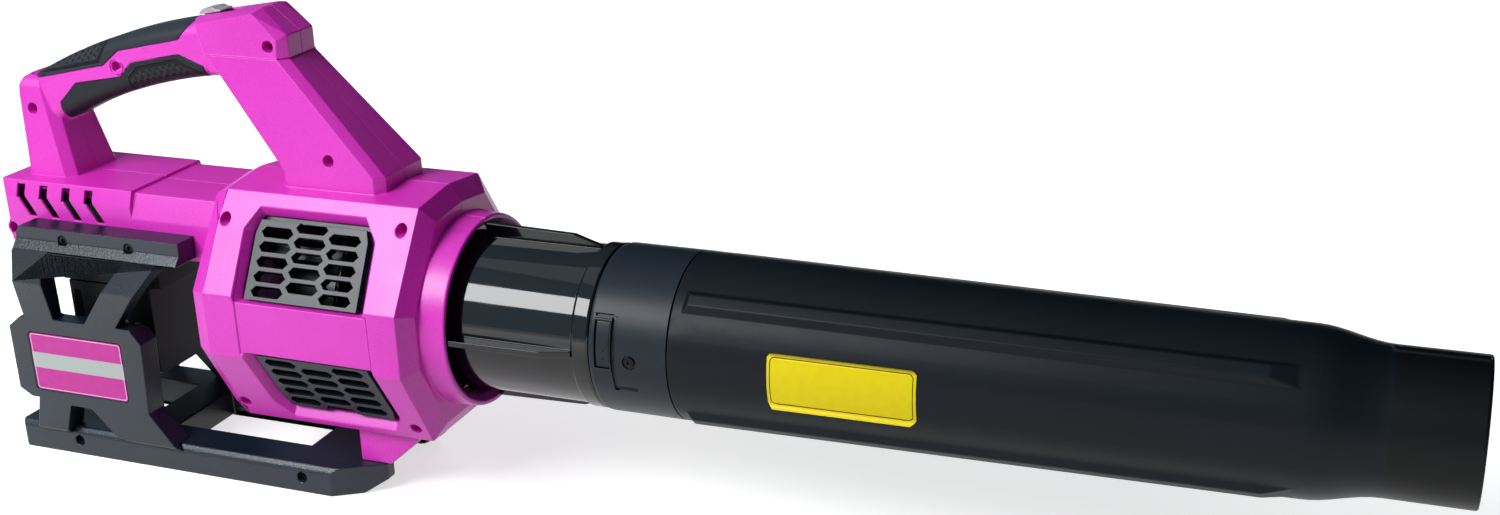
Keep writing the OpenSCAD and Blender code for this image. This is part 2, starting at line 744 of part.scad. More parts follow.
module axial_fan() color("darkgray") placed() {
    difference() {
        union() {
            rod_x(fan_x, fan_len, hub_d / 2);
            for (i = [0:blade_count - 1]) rotate([i * 360 / blade_count, 0, 0])
                blade(fan_x + 1, fan_len - 2, hub_d / 2 - 1, fan_r, -38, 2.2);
        }
        rod_x(fan_x + 6, fan_len, hub_d / 2 - 3);
        rod_x(fan_x - e, 10, shaft_d / 2);
    }
    difference() {
        rod_x(fan_x + 5, 13, shaft_d / 2 + 5);
        rod_x(fan_x, 20, shaft_d / 2);
    }
}

module motor_shaft() color("silver") placed()
    rod_x(motor_x - 4, fan_x + 18 - motor_x + 4, shaft_d / 2 - 0.02);

// Open-ended can of the outer rotor with its vent holes, closed at the fan side
module motor_can() color("silver") placed() difference() {
    rod_x(motor_x + 4, motor_len, motor_d / 2);
    rod_x(motor_x, motor_len, motor_d / 2 - 3);
    rod_x(motor_x, motor_len + 10, shaft_d / 2);
    for (i = [0:5]) rotate([i * 60, 0, 0]) translate([0, 0, motor_d / 3.2]) rod_x(motor_x + 20, 60, 4);
}

mount_r = 10;
mount_screw_r = 1.25;
// Radius of the stator's core and of the spider's boss that it stands on
core_r = 12.4;
// The spider's sleeve, the seats of its two bearings, and how far the inner seat starts from the can's end
sleeve_bore_r = 8;
seat_r = 7;
inner_seat = 18;

module motor_stator() color("sienna") placed() difference() {
    union() {
        rod_x(motor_x + 8, motor_len - 12, core_r);
        for (i = [0:11]) rotate([15 + i * 30, 0, 0])
            block([motor_x + 8, -2.6, 11], [motor_x + motor_len - 4, 2.6, motor_d / 2 - 3.6]);
    }
    rod_x(motor_x, motor_len, sleeve_bore_r);
    for (i = [0:3]) rotate([45 + i * 90, 0, 0]) translate([0, 0, mount_r])
        rod_x(motor_x, 20, mount_screw_r + 0.05);
}

// Spider that carries the motor from four legs on the duct's inlet bell
module motor_mount() color("black") placed() difference() {
    union() {
        rod_x(motor_x - 4, 5, motor_d / 2 - 1);
        rod_x(motor_x - 4, 11.9, core_r);
        rod_x(motor_x - 4, motor_len - 8, sleeve_bore_r - 0.1);
        for (i = [0:3]) rotate([45 + i * 90, 0, 0]) {
            block([motor_x - 4, -5, 24], [motor_x + 1, 5, bell_d / 2 - 2]);
            block([motor_x - 4, -5, bell_d / 2 - 7], [bell_x - 3.05, 5, bell_d / 2 - 2]);
        }
    }
    rod_x(motor_x - 5, motor_len, 5.5);
    rod_x(motor_x - 4 - e, 6, seat_r);
    rod_x(motor_x + motor_len - inner_seat, 8, seat_r);
    for (i = [0:3]) rotate([45 + i * 90, 0, 0]) translate([0, 0, mount_r])
        rod_x(motor_x - 5, 16, mount_screw_r + 0.05);
}

module motor_bearings() color("silver") placed() {
    pipe_x(motor_x - 4, 5.5, seat_r - 0.05, shaft_d / 2);
    pipe_x(motor_x + motor_len - inner_seat + 0.5, 5.5, seat_r - 0.05, shaft_d / 2);
}

module motor_screws() color("dimgray") placed()
    for (i = [0:3]) rotate([45 + i * 90, 0, 0]) translate([0, 0, mount_r]) {
        rod_x(motor_x - 4 - e, 22, mount_screw_r);
        rod_x(motor_x - 6, 2, 2.2);
    }

module motor_leads() color("red") placed() for (i = [-1:1]) {
    translate([0, i * 5, 34 - abs(i)]) rod_x(deck_x - 14, motor_x - deck_x + 4, 1.4);
    translate([motor_x - 10, i * 5, 20]) cylinder(h = 14 - abs(i), r = 1.4);
    translate([motor_x - 10, i * 5, 34 - abs(i)]) sphere(r = 1.4);
    translate([motor_x - 10, i * 5, 20]) sphere(r = 1.4);
    translate([0, i * 5, 20]) rod_x(motor_x - 10, 6, 1.4);
}

// ---------- blow tube ----------

// Turns what stands on the Z side to an angle above the right side
module at_angle(a) rotate([90 - a, 0, 0]) children();

// Slab of the release button or of its window, at its place on the collar
module button_slab(w, l, r0, r1) at_angle(latch_angle)
    block([latch_x - w / 2, -l / 2, r0], [latch_x + w / 2, l / 2, r1]);

// Groove round the button's tongue and on to its foot
module collar_mark() difference() {
    union() {
        at_angle(3) block([coupling_x + 15.6, -24.5, 20], [coupling_x + 18.4, 24.5, tube_r + 5]);
        at_angle(29.7) block([coupling_x + 4, -0.9, 40], [coupling_x + 16, 0.9, tube_r + 5]);
        at_angle(-21) block([coupling_x + 17, -1.8, 40], [coupling_x + 31.5, 1.8, tube_r + 5]);
    }
    rod_x(coupling_x - 5, coupling_len, tube_r - mark_t);
}

module coupling_collar() color("darkslategray") placed() difference() {
    union() {
        rotate([0, 90, 0]) rotate_extrude() polygon([
            [bore_r, coupling_x], [tube_r - 0.6, coupling_x], [tube_r, coupling_x + 2], [tube_r, -0.15],
            [bore_r - 0.1, -0.15], [sleeve_r, sleeve_len], [bore_r - 2, sleeve_len],
            [bore_r - 2, -5], [bore_r, -8]]);
        intersection() {
            button_slab(latch_w + 3, latch_len + 3.6, 40, tube_r + 2);
            pipe_x(coupling_x, coupling_len, tube_r + 0.9, tube_r - 1);
        }
    }
    button_slab(latch_w + 2 * latch_play, latch_len + 2 * latch_play, bore_r - 6, tube_r + 4);
    collar_mark();
    for (i = [0:2]) at_angle(i * 120) translate([coupling_x + 28, 0, 0]) {
        translate([0, 0, bore_r - 3]) cylinder(h = 10, r = 1.55);
        translate([0, 0, tube_r - mark_t]) cylinder(h = 10, r = 4.6);
    }
}

module release_button() color("gray") placed() intersection() {
    button_slab(latch_w, latch_len, duct_r - 9, tube_r + 2);
    pipe_x(coupling_x, coupling_len, tube_r - 0.3, button_r);
}

module coupling_screws() color("dimgray") placed()
    for (i = [0:2]) at_angle(i * 120) translate([coupling_x + 28, 0, 0]) {
        translate([0, 0, bore_r + 0.2]) cylinder(h = tube_wall - mark_t, r = 1.5);
        difference() {
            translate([0, 0, tube_r - mark_t]) cylinder(h = mark_t + 0.2, r = 3.4);
            translate([0, 0, tube_r - 0.8]) cylinder(h = 2, r = 1.6, $fn = 6);
        }
    }

// Outside of tube, shoulder and spigot as [radius, x], then back along the inside
module tube_profile() polygon(concat(
    [[tube_r, 0.15], [tube_tip_d / 2, tube_tip_x]],
    [for (i = [1:8]) let (u = i / 8, s = (1 - cos(180 * u)) / 2)
        [tube_tip_d / 2 + (spigot_d - tube_tip_d) / 2 * s, tube_tip_x + shoulder_len * u]],
    [[spigot_d / 2, nozzle_x - 1], [spigot_d / 2 - 0.8, nozzle_x], [spigot_d / 2 - tube_wall, nozzle_x]],
    [for (i = [8:-1:1]) let (u = i / 8, s = (1 - cos(180 * u)) / 2)
        [tube_tip_d / 2 - tube_wall + (spigot_d - tube_tip_d) / 2 * s, tube_tip_x + shoulder_len * u]],
    [[tube_tip_d / 2 - tube_wall, tube_tip_x], [tube_r - tube_wall, 0.15]]));

// Stiffening rib with sloped ends, leaning with the tube's taper
module tube_rib() intersection() {
    translate([0, 0, tube_r]) rotate([0, tube_taper, 0]) along_x(4, tube_tip_x + 10)
        polygon([[-rib_w / 2, -2.5], [rib_w / 2, -2.5], [rib_w / 2 - 4.5, rib_h], [4.5 - rib_w / 2, rib_h]]);
    along_y(-rib_w, rib_w) polygon([[4, tube_r - 4], [12, tube_r + rib_h + 1], [tube_tip_x - 36, tube_r + rib_h],
        [tube_tip_x + 14, tube_tip_d / 2 - 5]]);
}

module blow_tube() color("black") placed() {
    difference() {
        union() {
            rotate([0, 90, 0]) rotate_extrude() tube_profile();
            for (i = [0:3]) rotate([45 + i * 90, 0, 0]) tube_rib();
        }
        rotate([0, 90, 0]) translate([0, 0, 0.1])
            cylinder(h = tube_tip_x, r1 = bore_r, r2 = tube_tip_d / 2 - tube_wall);
    }
    along_y(-2.5, 2.5) polygon([[shoulder_x - 4, spigot_d / 2 - 1], [shoulder_x - 2, spigot_d / 2 + 1.2],
        [nozzle_x - 2, spigot_d / 2 + 1.2], [nozzle_x - 1, spigot_d / 2 - 1]]);
    along_y(-3, 3) polygon([[shoulder_x - 6, 1 - spigot_d / 2], [shoulder_x - 4, -spigot_d / 2 - 2.6],
        [shoulder_x + 4, -spigot_d / 2 - 2.6], [shoulder_x + 6, 1 - spigot_d / 2]]);
}

label_x = 66;
label_len = 93;
label_angle = 37;
// Radius of the tapered tube at x
function tube_r_at(x) = tube_r - x * tan(tube_taper);

module tube_label() color("gold") placed() rotate([-90 - label_angle / 2, 0, 0]) rotate([0, 90, 0])
    rotate_extrude(angle = label_angle) polygon([
        [tube_r_at(label_x) + 0.02, label_x], [tube_r_at(label_x) + 0.3, label_x],
        [tube_r_at(label_x + label_len) + 0.3, label_x + label_len],
        [tube_r_at(label_x + label_len) + 0.02, label_x + label_len]]);

// ---------- cages and base ----------

cage_x = rear_x + 9;
plate_x1 = cage_x + plate_len;
// Middle of the rating plate, in [X, Z]
label_mid = [cage_x + plate_len / 2 - 1, -55];
rail_x0 = rear_x + 25;
rail_x1 = rear_x + 164;
rail_z0 = 30;
rail_z1 = 46;
cage_holes = [[rear_x + 66, 38], [rear_x + 122, 38]];

// Side view of a cage: rail, upright strut, slanted strut, plate and two legs
module cage_outline() difference() {
    polygon([[rail_x0, rail_z0], [rail_x0, rail_z1 - 6], [rail_x0 + 4, rail_z1], [rail_x1, rail_z1],
        [rail_x1, rail_z0], [cage_x + 138, rail_z0], [cage_x + 95, plate_top], [plate_x1 - 8, plate_top],
        [plate_x1, plate_top - 10], [plate_x1 - 2, plate_floor], [cage_x + 138, skid_top - 8],
        [cage_x + 82, skid_top], [cage_x + 62, plate_floor - 3], [cage_x + 44, plate_floor - 3],
        [cage_x + 35, skid_top - 8], [cage_x + 9, skid_top - 8], [cage_x + 16, plate_floor],
        [cage_x + 10, plate_floor], [cage_x, plate_floor + 6], [cage_x, plate_top - 9], [cage_x + 12, plate_top],
        [cage_x + 15, plate_top], [cage_x + 15, rail_z0]]);
    polygon([[cage_x + 48, rail_z0], [cage_x + 40, rail_z0 - 8], [cage_x + 41, plate_top],
        [cage_x + 68, plate_top], [cage_x + 111, rail_z0]]);
}

// End view of the right cage in [Y, Z]: it bulges at the struts and laps over the skid
module cage_section() polygon([
    [-deck_y - 0.1, rail_z0], [-deck_y - 0.1, rail_z1], [-rail_y, rail_z1], [-rail_y, rail_z0 + 7],
    [-cage_y, rail_z0 + 1], [-cage_y - bulge, 7], [-cage_y, plate_top + 0.1], [-cage_y, skid_top - 1],
    [-skid_y - 0.1, skid_top - 5], [-skid_y - 0.1, skid_top + 0.1], [cage_t - cage_y, skid_top + 0.1],
    [cage_t - cage_y, plate_top - 3], [strut_t - cage_y, plate_top + 2], [strut_t - cage_y, 12],
    [-deck_y - 0.1, deck_floor - 1]]);

module cage() difference() {
    intersection() {
        along_y(-90, 0) cage_outline();
        along_x(rear_x - 5, 220) cage_section();
    }
    along_y(-cage_y - 1, -cage_y + 1.2) translate(label_mid) polygon(octagon(plate_len - 34, 45, 2, 2));
    along_y(-cage_y + 4, 0) translate([cage_x + plate_len / 2, (plate_top + plate_floor) / 2])
        polygon(octagon(plate_len - 13, plate_top - plate_floor - 10, 8, 8));
    for (h = cage_holes) {
        rod_y(h[0], h[1], -rail_y - 1, -rail_y + 4, sink_d / 2 - 0.2);
        rod_y(h[0], h[1], -rail_y, 0, screw_d / 2 + 0.05);
    }
}

module cage_right() color("dimgray") placed() cage();
module cage_left() color("dimgray") placed() sided(left) cage();

module cage_screws() color("silver") placed() for (s = [right, left]) sided(s)
    for (h = cage_holes) screw_y(h[0], h[1], -rail_y + 4, rail_y + 6 - deck_y);

module rating_plate() color("mediumvioletred") placed()
    along_y(-cage_y + 0.5, -cage_y + 1.15) translate(label_mid)
        polygon(octagon(plate_len - 35.4, 43.6, 1.5, 1.5));

skid_front_x = foot_front_x - 3;
// Plan of one skid in [X, Y], right side
module skid_plan() polygon([[rear_x, 2 - skid_y], [rear_x + 2, -skid_y], [skid_front_x - 33, -skid_y],
    [skid_front_x, 20 - skid_y], [skid_front_x, skid_w - skid_y], [rear_x, skid_w - skid_y]]);

// Side view of one skid in [X, Z], its front end cut away below
module skid_side() polygon([[rear_x, ground], [skid_front_x - 15, ground], [skid_front_x, ground + 9],
    [skid_front_x, skid_top], [rear_x, skid_top]]);

// End view of one skid in [Y, Z], with its outer top edge cut
module skid_section() polygon([[-skid_y, ground], [-skid_y, skid_top - 4], [3 - skid_y, skid_top],
    [skid_w - skid_y, skid_top], [skid_w - skid_y, ground]]);

skid_holes = [rear_x + 51, drum_rear_x + 46];

module skid_base() color("dimgray") placed() difference() {
    union() {
        for (s = [right, left]) sided(s) intersection() {
            along_x(rear_x, 400) skid_section();
            translate([0, 0, ground]) linear_extrude(skid_h) skid_plan();
            along_y(-skid_y - 1, 0) skid_side();
        }
        block([rear_x, -skid_y + 20, ground + 1], [rear_x + 18, skid_y - 20, skid_top]);
        block([rear_x + 88, -skid_y + 20, ground + 1], [rear_x + 118, skid_y - 20, skid_top]);
        block([drum_rear_x + 36, -skid_y + 20, ground + 1], [foot_front_x - 22, skid_y - 20, skid_top]);
    }
    for (x = skid_holes, s = [right, left]) sided(s) {
        rod_y(x, skid_top - 10, -skid_y - 1, -skid_y + 7, sink_d / 2 - 0.2);
        rod_y(x, skid_top - 10, -skid_y, -skid_y + 24, screw_d / 2 + 0.05);
    }
    for (s = [right, left]) sided(s) translate([0, 0, ground - 1])
        linear_extrude(skid_h - 3) skid_pocket();
}

// Hollow under a skid, open to the ground, between its two side screws
module skid_pocket() polygon([[skid_holes[0] + 8, 4 - skid_y], [skid_holes[1] - 8, 4 - skid_y],
    [skid_holes[1] - 8, skid_w - 4 - skid_y], [skid_holes[0] + 8, skid_w - 4 - skid_y]]);

module skid_screws() color("silver") placed() for (x = skid_holes, s = [right, left]) sided(s)
    screw_y(x, skid_top - 10, -skid_y + 7, 16);

// ---------- battery ----------

// T section of the pack's rail in [Y, Z], grown by g
module rail_section(g) polygon([
    [-rail_stem / 2 - g, dock_bottom - 1 - g], [rail_stem / 2 + g, dock_bottom - 1 - g],
    [rail_stem / 2 + g, dock_bottom + 6 - g], [rail_head / 2 + g, dock_bottom + 6 - g],
    [rail_head / 2 + g, dock_bottom + 12 + g], [-rail_head / 2 - g, dock_bottom + 12 + g],
    [-rail_head / 2 - g, dock_bottom + 6 - g], [-rail_stem / 2 - g, dock_bottom + 6 - g]]);

module battery_dock() color("gray") placed() difference() {
    union() {
        along_x(pack_x - 4, dock_len) polygon([[-pack_y, dock_bottom], [-pack_y, dock_bottom + 16],
            [3 - pack_y, dock_bottom + 18], [pack_y - 3, dock_bottom + 18], [pack_y, dock_bottom + 16],
            [pack_y, dock_bottom]]);
        block([pack_x + 4, -30, dock_bottom + 17], [pack_x + dock_len - 10, 30, deck_floor]);
    }
    along_x(pack_x - 5, pack_len + 4) rail_section(0.3);
    block([pack_x - 5, -8, dock_bottom + 11], [pack_x + 8, 8, dock_bottom + 15.5]);
}

module dock_terminals() color("goldenrod") placed()
    for (y = terminals_y) block([pack_x + pack_len - 14, y - 0.4, dock_bottom + 7.5],
        [pack_x + pack_len - 1, y + 0.4, dock_bottom + 10.5]);

module battery_pack() color("darkslategray") placed() difference() {
    union() {
        along_x(pack_x, pack_len) polygon([[-pack_y, pack_floor + 3], [-pack_y, dock_bottom - gap],
            [pack_y, dock_bottom - gap], [pack_y, pack_floor + 3], [pack_y - 3, pack_floor], [3 - pack_y, pack_floor]]);
        along_x(pack_x, pack_len - 2) rail_section(0);
    }
    block([pack_x + 2, 2 - pack_y, pack_floor + 2], [pack_x + pack_len - 2, pack_y - 2, dock_bottom - 2]);
    for (y = terminals_y)
        block([pack_x + pack_len - 17, y - 1, dock_bottom + 6.5], [pack_x + pack_len, y + 1, dock_bottom + 13]);
    for (s = [right, left]) sided(s) {
        block([pack_x + 4, -pack_y - 1, pack_floor + 10], [pack_x + 10, -pack_y + 1.4, dock_bottom - 8]);
        block([pack_x + 53, -pack_y - 1, dock_bottom - 28], [pack_x + 58, -pack_y + 1.4, dock_bottom - 16]);
        rod_y(pack_x + 46, dock_bottom - 29, -pack_y - 1, -pack_y + 4, 1.6);
    }
    latch_space(0.3);
}

module battery_cells() color("royalblue") placed() {
    for (i = [0:2]) rod_y(pack_x + pack_len / 2 + (i - 1) * (cell_d + 0.4), pack_floor + 3 + cell_d / 2,
        -cell_len / 2, cell_len / 2, cell_d / 2);
    for (i = [0:1]) rod_y(pack_x + pack_len / 2 + (i - 0.5) * (cell_d + 0.4), pack_floor + 3 + cell_d * 1.5 - 2.2,
        -cell_len / 2, cell_len / 2, cell_d / 2);
}

// Pocket of the latch in the rear end of the pack
module latch_space(g) block([pack_x - 1, -14 - g, dock_bottom - 16.5 - g], [pack_x + 7 + g, 14 + g, dock_bottom + 20]);

module pack_latch() color("black") placed() {
    block([pack_x + 0.4, -13.8, dock_bottom - 12.5], [pack_x + 6.6, 13.8, dock_bottom - 0.6]);
    along_y(-7, 7) polygon([[pack_x + 1, dock_bottom - 1], [pack_x + 6.5, dock_bottom - 1],
        [pack_x + 6.5, dock_bottom + 15], [pack_x + 3.5, dock_bottom + 15], [pack_x + 1, dock_bottom + 11]]);
}

module pack_screws() color("silver") placed() for (s = [right, left]) sided(s) {
    rod_y(pack_x + 46, dock_bottom - 29, -pack_y, -cell_len / 2 - 0.4, 1.5);
    rod_y(pack_x + 46, dock_bottom - 29, -pack_y - 1, -pack_y, 2.8);
}

housing_right();
housing_left();
housing_screws();
intake_grille_right();
intake_grille_left();
grip_pad_top_right();
grip_pad_top_left();
grip_pad_bottom_right();
grip_pad_bottom_left();
speed_slider();
speed_switch();
controller_board();
heat_sink();
outlet_duct();
duct_seal();
axial_fan();
motor_shaft();
motor_can();
motor_stator();
motor_mount();
motor_bearings();
motor_screws();
motor_leads();
coupling_collar();
blow_tube();
tube_label();
release_button();
coupling_screws();
cage_right();
cage_left();
cage_screws();
rating_plate();
skid_base();
skid_screws();
battery_dock();
dock_terminals();
battery_pack();
battery_cells();
pack_latch();
pack_screws();
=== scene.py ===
"""Looks of a handheld axial leaf blower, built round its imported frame.

The row frame has +X along the blow tube towards the nozzle and +Z up, in metres. Sizes in
this file are millimetres in the working frame of the part's source, where X = 0 is the joint
of coupling and blow tube and the tube axis is Z = 0, unless a name ends in _m.
"""
import json
import logging
import math
from dataclasses import dataclass
from enum import Enum

import bpy
from mathutils import Matrix, Vector


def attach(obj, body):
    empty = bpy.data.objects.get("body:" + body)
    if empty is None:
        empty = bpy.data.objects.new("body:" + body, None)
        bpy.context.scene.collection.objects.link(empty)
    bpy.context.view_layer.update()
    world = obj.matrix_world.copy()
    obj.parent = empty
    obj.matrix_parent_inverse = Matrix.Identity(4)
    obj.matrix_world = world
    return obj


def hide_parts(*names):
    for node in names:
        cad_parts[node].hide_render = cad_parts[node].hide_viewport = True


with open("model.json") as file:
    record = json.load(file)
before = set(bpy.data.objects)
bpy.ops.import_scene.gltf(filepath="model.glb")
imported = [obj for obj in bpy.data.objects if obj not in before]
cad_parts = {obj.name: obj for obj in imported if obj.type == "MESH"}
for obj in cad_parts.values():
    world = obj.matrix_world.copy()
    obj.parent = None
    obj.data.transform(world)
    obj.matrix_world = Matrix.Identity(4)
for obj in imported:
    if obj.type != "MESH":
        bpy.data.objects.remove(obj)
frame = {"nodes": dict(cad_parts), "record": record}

LOG = logging.getLogger("leaf_blower")
MM = 0.001
# The working frame's origin in the row frame, in millimetres.
ORIGIN_X = 24.0
ORIGIN_Z = 128.0

Socket = bpy.types.NodeSocket
Tree = bpy.types.NodeTree
Point = tuple[float, float, float]


def row_point(x: float, y: float, z: float) -> Vector:
    """Turns a point of the working frame, in millimetres, into the row frame.

    Args:
        x: Distance along the tube axis from the coupling joint.
        y: Distance to the operator's left of the middle plane.
        z: Height over the tube axis.

    Returns:
        The point in metres in the row frame.
    """
    return Vector(((x + ORIGIN_X) * MM, y * MM, (z + ORIGIN_Z) * MM))


def linear(hex_colour: str) -> tuple[float, float, float, float]:
    """Turns an sRGB hex colour into the linear colour that a shader socket takes.

    Args:
        hex_colour: Six hex digits, with or without a leading #.

    Returns:
        Linear red, green, blue and an alpha of 1.
    """
    digits = hex_colour.lstrip("#")
    parts = [int(digits[i:i + 2], 16) / 255 for i in (0, 2, 4)]
    curve = [c / 12.92 if c <= 0.04045 else ((c + 0.055) / 1.055) ** 2.4 for c in parts]
    return curve[0], curve[1], curve[2], 1.0


def empty_tree(owner: bpy.types.Material | bpy.types.World) -> Tree:
    """Gives a material or a world a node tree with nothing in it.

    Args:
        owner: The material or world.

    Returns:
        Its empty tree.
    """
    owner.use_nodes = True
    owner.node_tree.nodes.clear()
    return owner.node_tree


def add_node(tree: Tree, kind: str, settings: dict | None = None) -> bpy.types.Node:
    """Adds one node with its settings and incoming links.

    Args:
        tree: The node tree that gets the node.
        kind: The node's type name, such as ShaderNodeTexNoise.
        settings: Values by name. A name that is an input socket or its number sets that socket, or
            links it where the value is another node's output. Any other name sets a property.

    Returns:
        The new node.
    """
    node = tree.nodes.new(kind)
    for name, value in (settings or {}).items():
        if isinstance(value, Socket):
            tree.links.new(value, node.inputs[name])
        elif isinstance(name, int) or name in node.inputs:
            node.inputs[name].default_value = value
        else:
            setattr(node, name, value)
    return node


# ---------------------------------------------------------------- finishes

# Slow clouds of colour, about 110 mm apart, and smears of handling, about 36 mm apart.
CLOUDS_PER_M = 9.0
SMEARS_PER_M = 28.0
# Sum of cloud and relief at which a surface has its main colour, and at which it has its shade.
MAIN_FROM = 1.25
SHADE_FROM = 0.75
# How far handling moves a roughness up or down, and the least that a polished skin keeps.
SMEAR_SPREAD = 0.05
LEAST_ROUGHNESS = 0.02
# How far places across the tube axis are drawn together, which stretches a grain into rings.
RING_SQUEEZE = 0.04
# Weight of each finer octave of a grain.
GRAIN_OCTAVE = 0.55
# Sockets of a Mix node that mixes colours: the two that go in and the one that comes out.
MIX_UNDER = 6
MIX_OVER = 7
MIX_COLOUR = 2


class Grain(Enum):
    """How a surface got its relief."""

    ERODED = "sandy grain of a spark-eroded mould"
    PEEL = "soft waves of a blown or polished skin"
    TURNED = "fine rings left by a lathe round the tube axis"


@dataclass(frozen=True)
class Finish:
    """A surface as it was made: colour, gloss and the relief that gives it its grain.

    Attributes:
        name: The material's name.
        colour: Main colour, sRGB hex.
        shade: Colour of the pits and of the slow variation, sRGB hex.
        roughness: Mean roughness.
        grain: How the relief came about.
        grain_mm: Size of the relief's grains.
        relief_mm: Height of the relief.
        metallic: 1 for bare metal.
        specular: The shader's specular level, 0.5 for a bare polished skin.
    """

    name: str
    colour: str
    shade: str
    roughness: float
    grain: Grain = Grain.ERODED
    grain_mm: float = 0.6
    relief_mm: float = 0.02
    metallic: float = 0.0
    specular: float = 0.5

    @property
    def bump_mm(self) -> float:
        """Height between the lowest and the highest point of the relief."""
        return self.relief_mm

    def relief(self, tree: Tree, place: Socket) -> Socket:
        """Height of the grain, from 0 to 1.

        Args:
            tree: The material's tree.
            place: Object coordinates in metres.

        Returns:
            The socket that carries the height.
        """
        if self.grain is Grain.TURNED:
            place = add_node(tree, "ShaderNodeVectorMath", {
                "operation": "MULTIPLY", 0: place, 1: (1.0, RING_SQUEEZE, RING_SQUEEZE)}).outputs[0]
        noise = add_node(tree, "ShaderNodeTexNoise", {
            "Scale": 1 / (self.grain_mm * MM), "Detail": 0.0 if self.grain is Grain.PEEL else 2.0,
            "Roughness": GRAIN_OCTAVE, "Vector": place})
        return noise.outputs["Fac"]

    def tint(self, tree: Tree, place: Socket, height: Socket) -> Socket:
        """Colour of the surface, deeper in the pits and in slow clouds.

        Args:
            tree: The material's tree.
            place: Object coordinates in metres.
            height: Height of the relief.

        Returns:
            The socket that carries the colour.
        """
        cloud = add_node(tree, "ShaderNodeTexNoise", {
            "Scale": CLOUDS_PER_M, "Detail": 3.0, "Vector": place})
        both = add_node(tree, "ShaderNodeMath", {
            "operation": "ADD", 0: cloud.outputs["Fac"], 1: height})
        share = add_node(tree, "ShaderNodeMapRange", {
            "From Min": MAIN_FROM, "From Max": SHADE_FROM, "Value": both.outputs[0]})
        return add_node(tree, "ShaderNodeMix", {
            "data_type": "RGBA", 0: share.outputs[0], MIX_UNDER: linear(self.colour),
            MIX_OVER: linear(self.shade)}).outputs[MIX_COLOUR]

    def gloss(self, tree: Tree, place: Socket) -> Socket:
        """Roughness with the faint unevenness of handling.

        Args:
            tree: The material's tree.
            place: Object coordinates in metres.

        Returns:
            The socket that carries the roughness.
        """
        smear = add_node(tree, "ShaderNodeTexNoise", {
            "Scale": SMEARS_PER_M, "Detail": 4.0, "Vector": place})
        spread = add_node(tree, "ShaderNodeMapRange", {
            "To Min": max(self.roughness - SMEAR_SPREAD, LEAST_ROUGHNESS),
            "To Max": min(self.roughness + SMEAR_SPREAD, 1.0), "Value": smear.outputs["Fac"]})
        return spread.outputs[0]

    def build(self) -> bpy.types.Material:
        """Makes the material.

        Returns:
            The finished material.
        """
        material = bpy.data.materials.new(self.name)
        material.diffuse_color = linear(self.colour)
        tree = empty_tree(material)
        place = add_node(tree, "ShaderNodeTexCoord").outputs["Object"]
        height = self.relief(tree, place)
        bump = add_node(tree, "ShaderNodeBump", {
            "Strength": 1.0, "Distance": self.bump_mm * MM, "Height": height})
        shader = add_node(tree, "ShaderNodeBsdfPrincipled", {
            "Base Color": self.tint(tree, place, height), "Roughness": self.gloss(tree, place),
            "Metallic": self.metallic, "Specular IOR Level": self.specular,
            "Normal": bump.outputs[0]})
        add_node(tree, "ShaderNodeOutputMaterial", {"Surface": shader.outputs[0]})
        return material


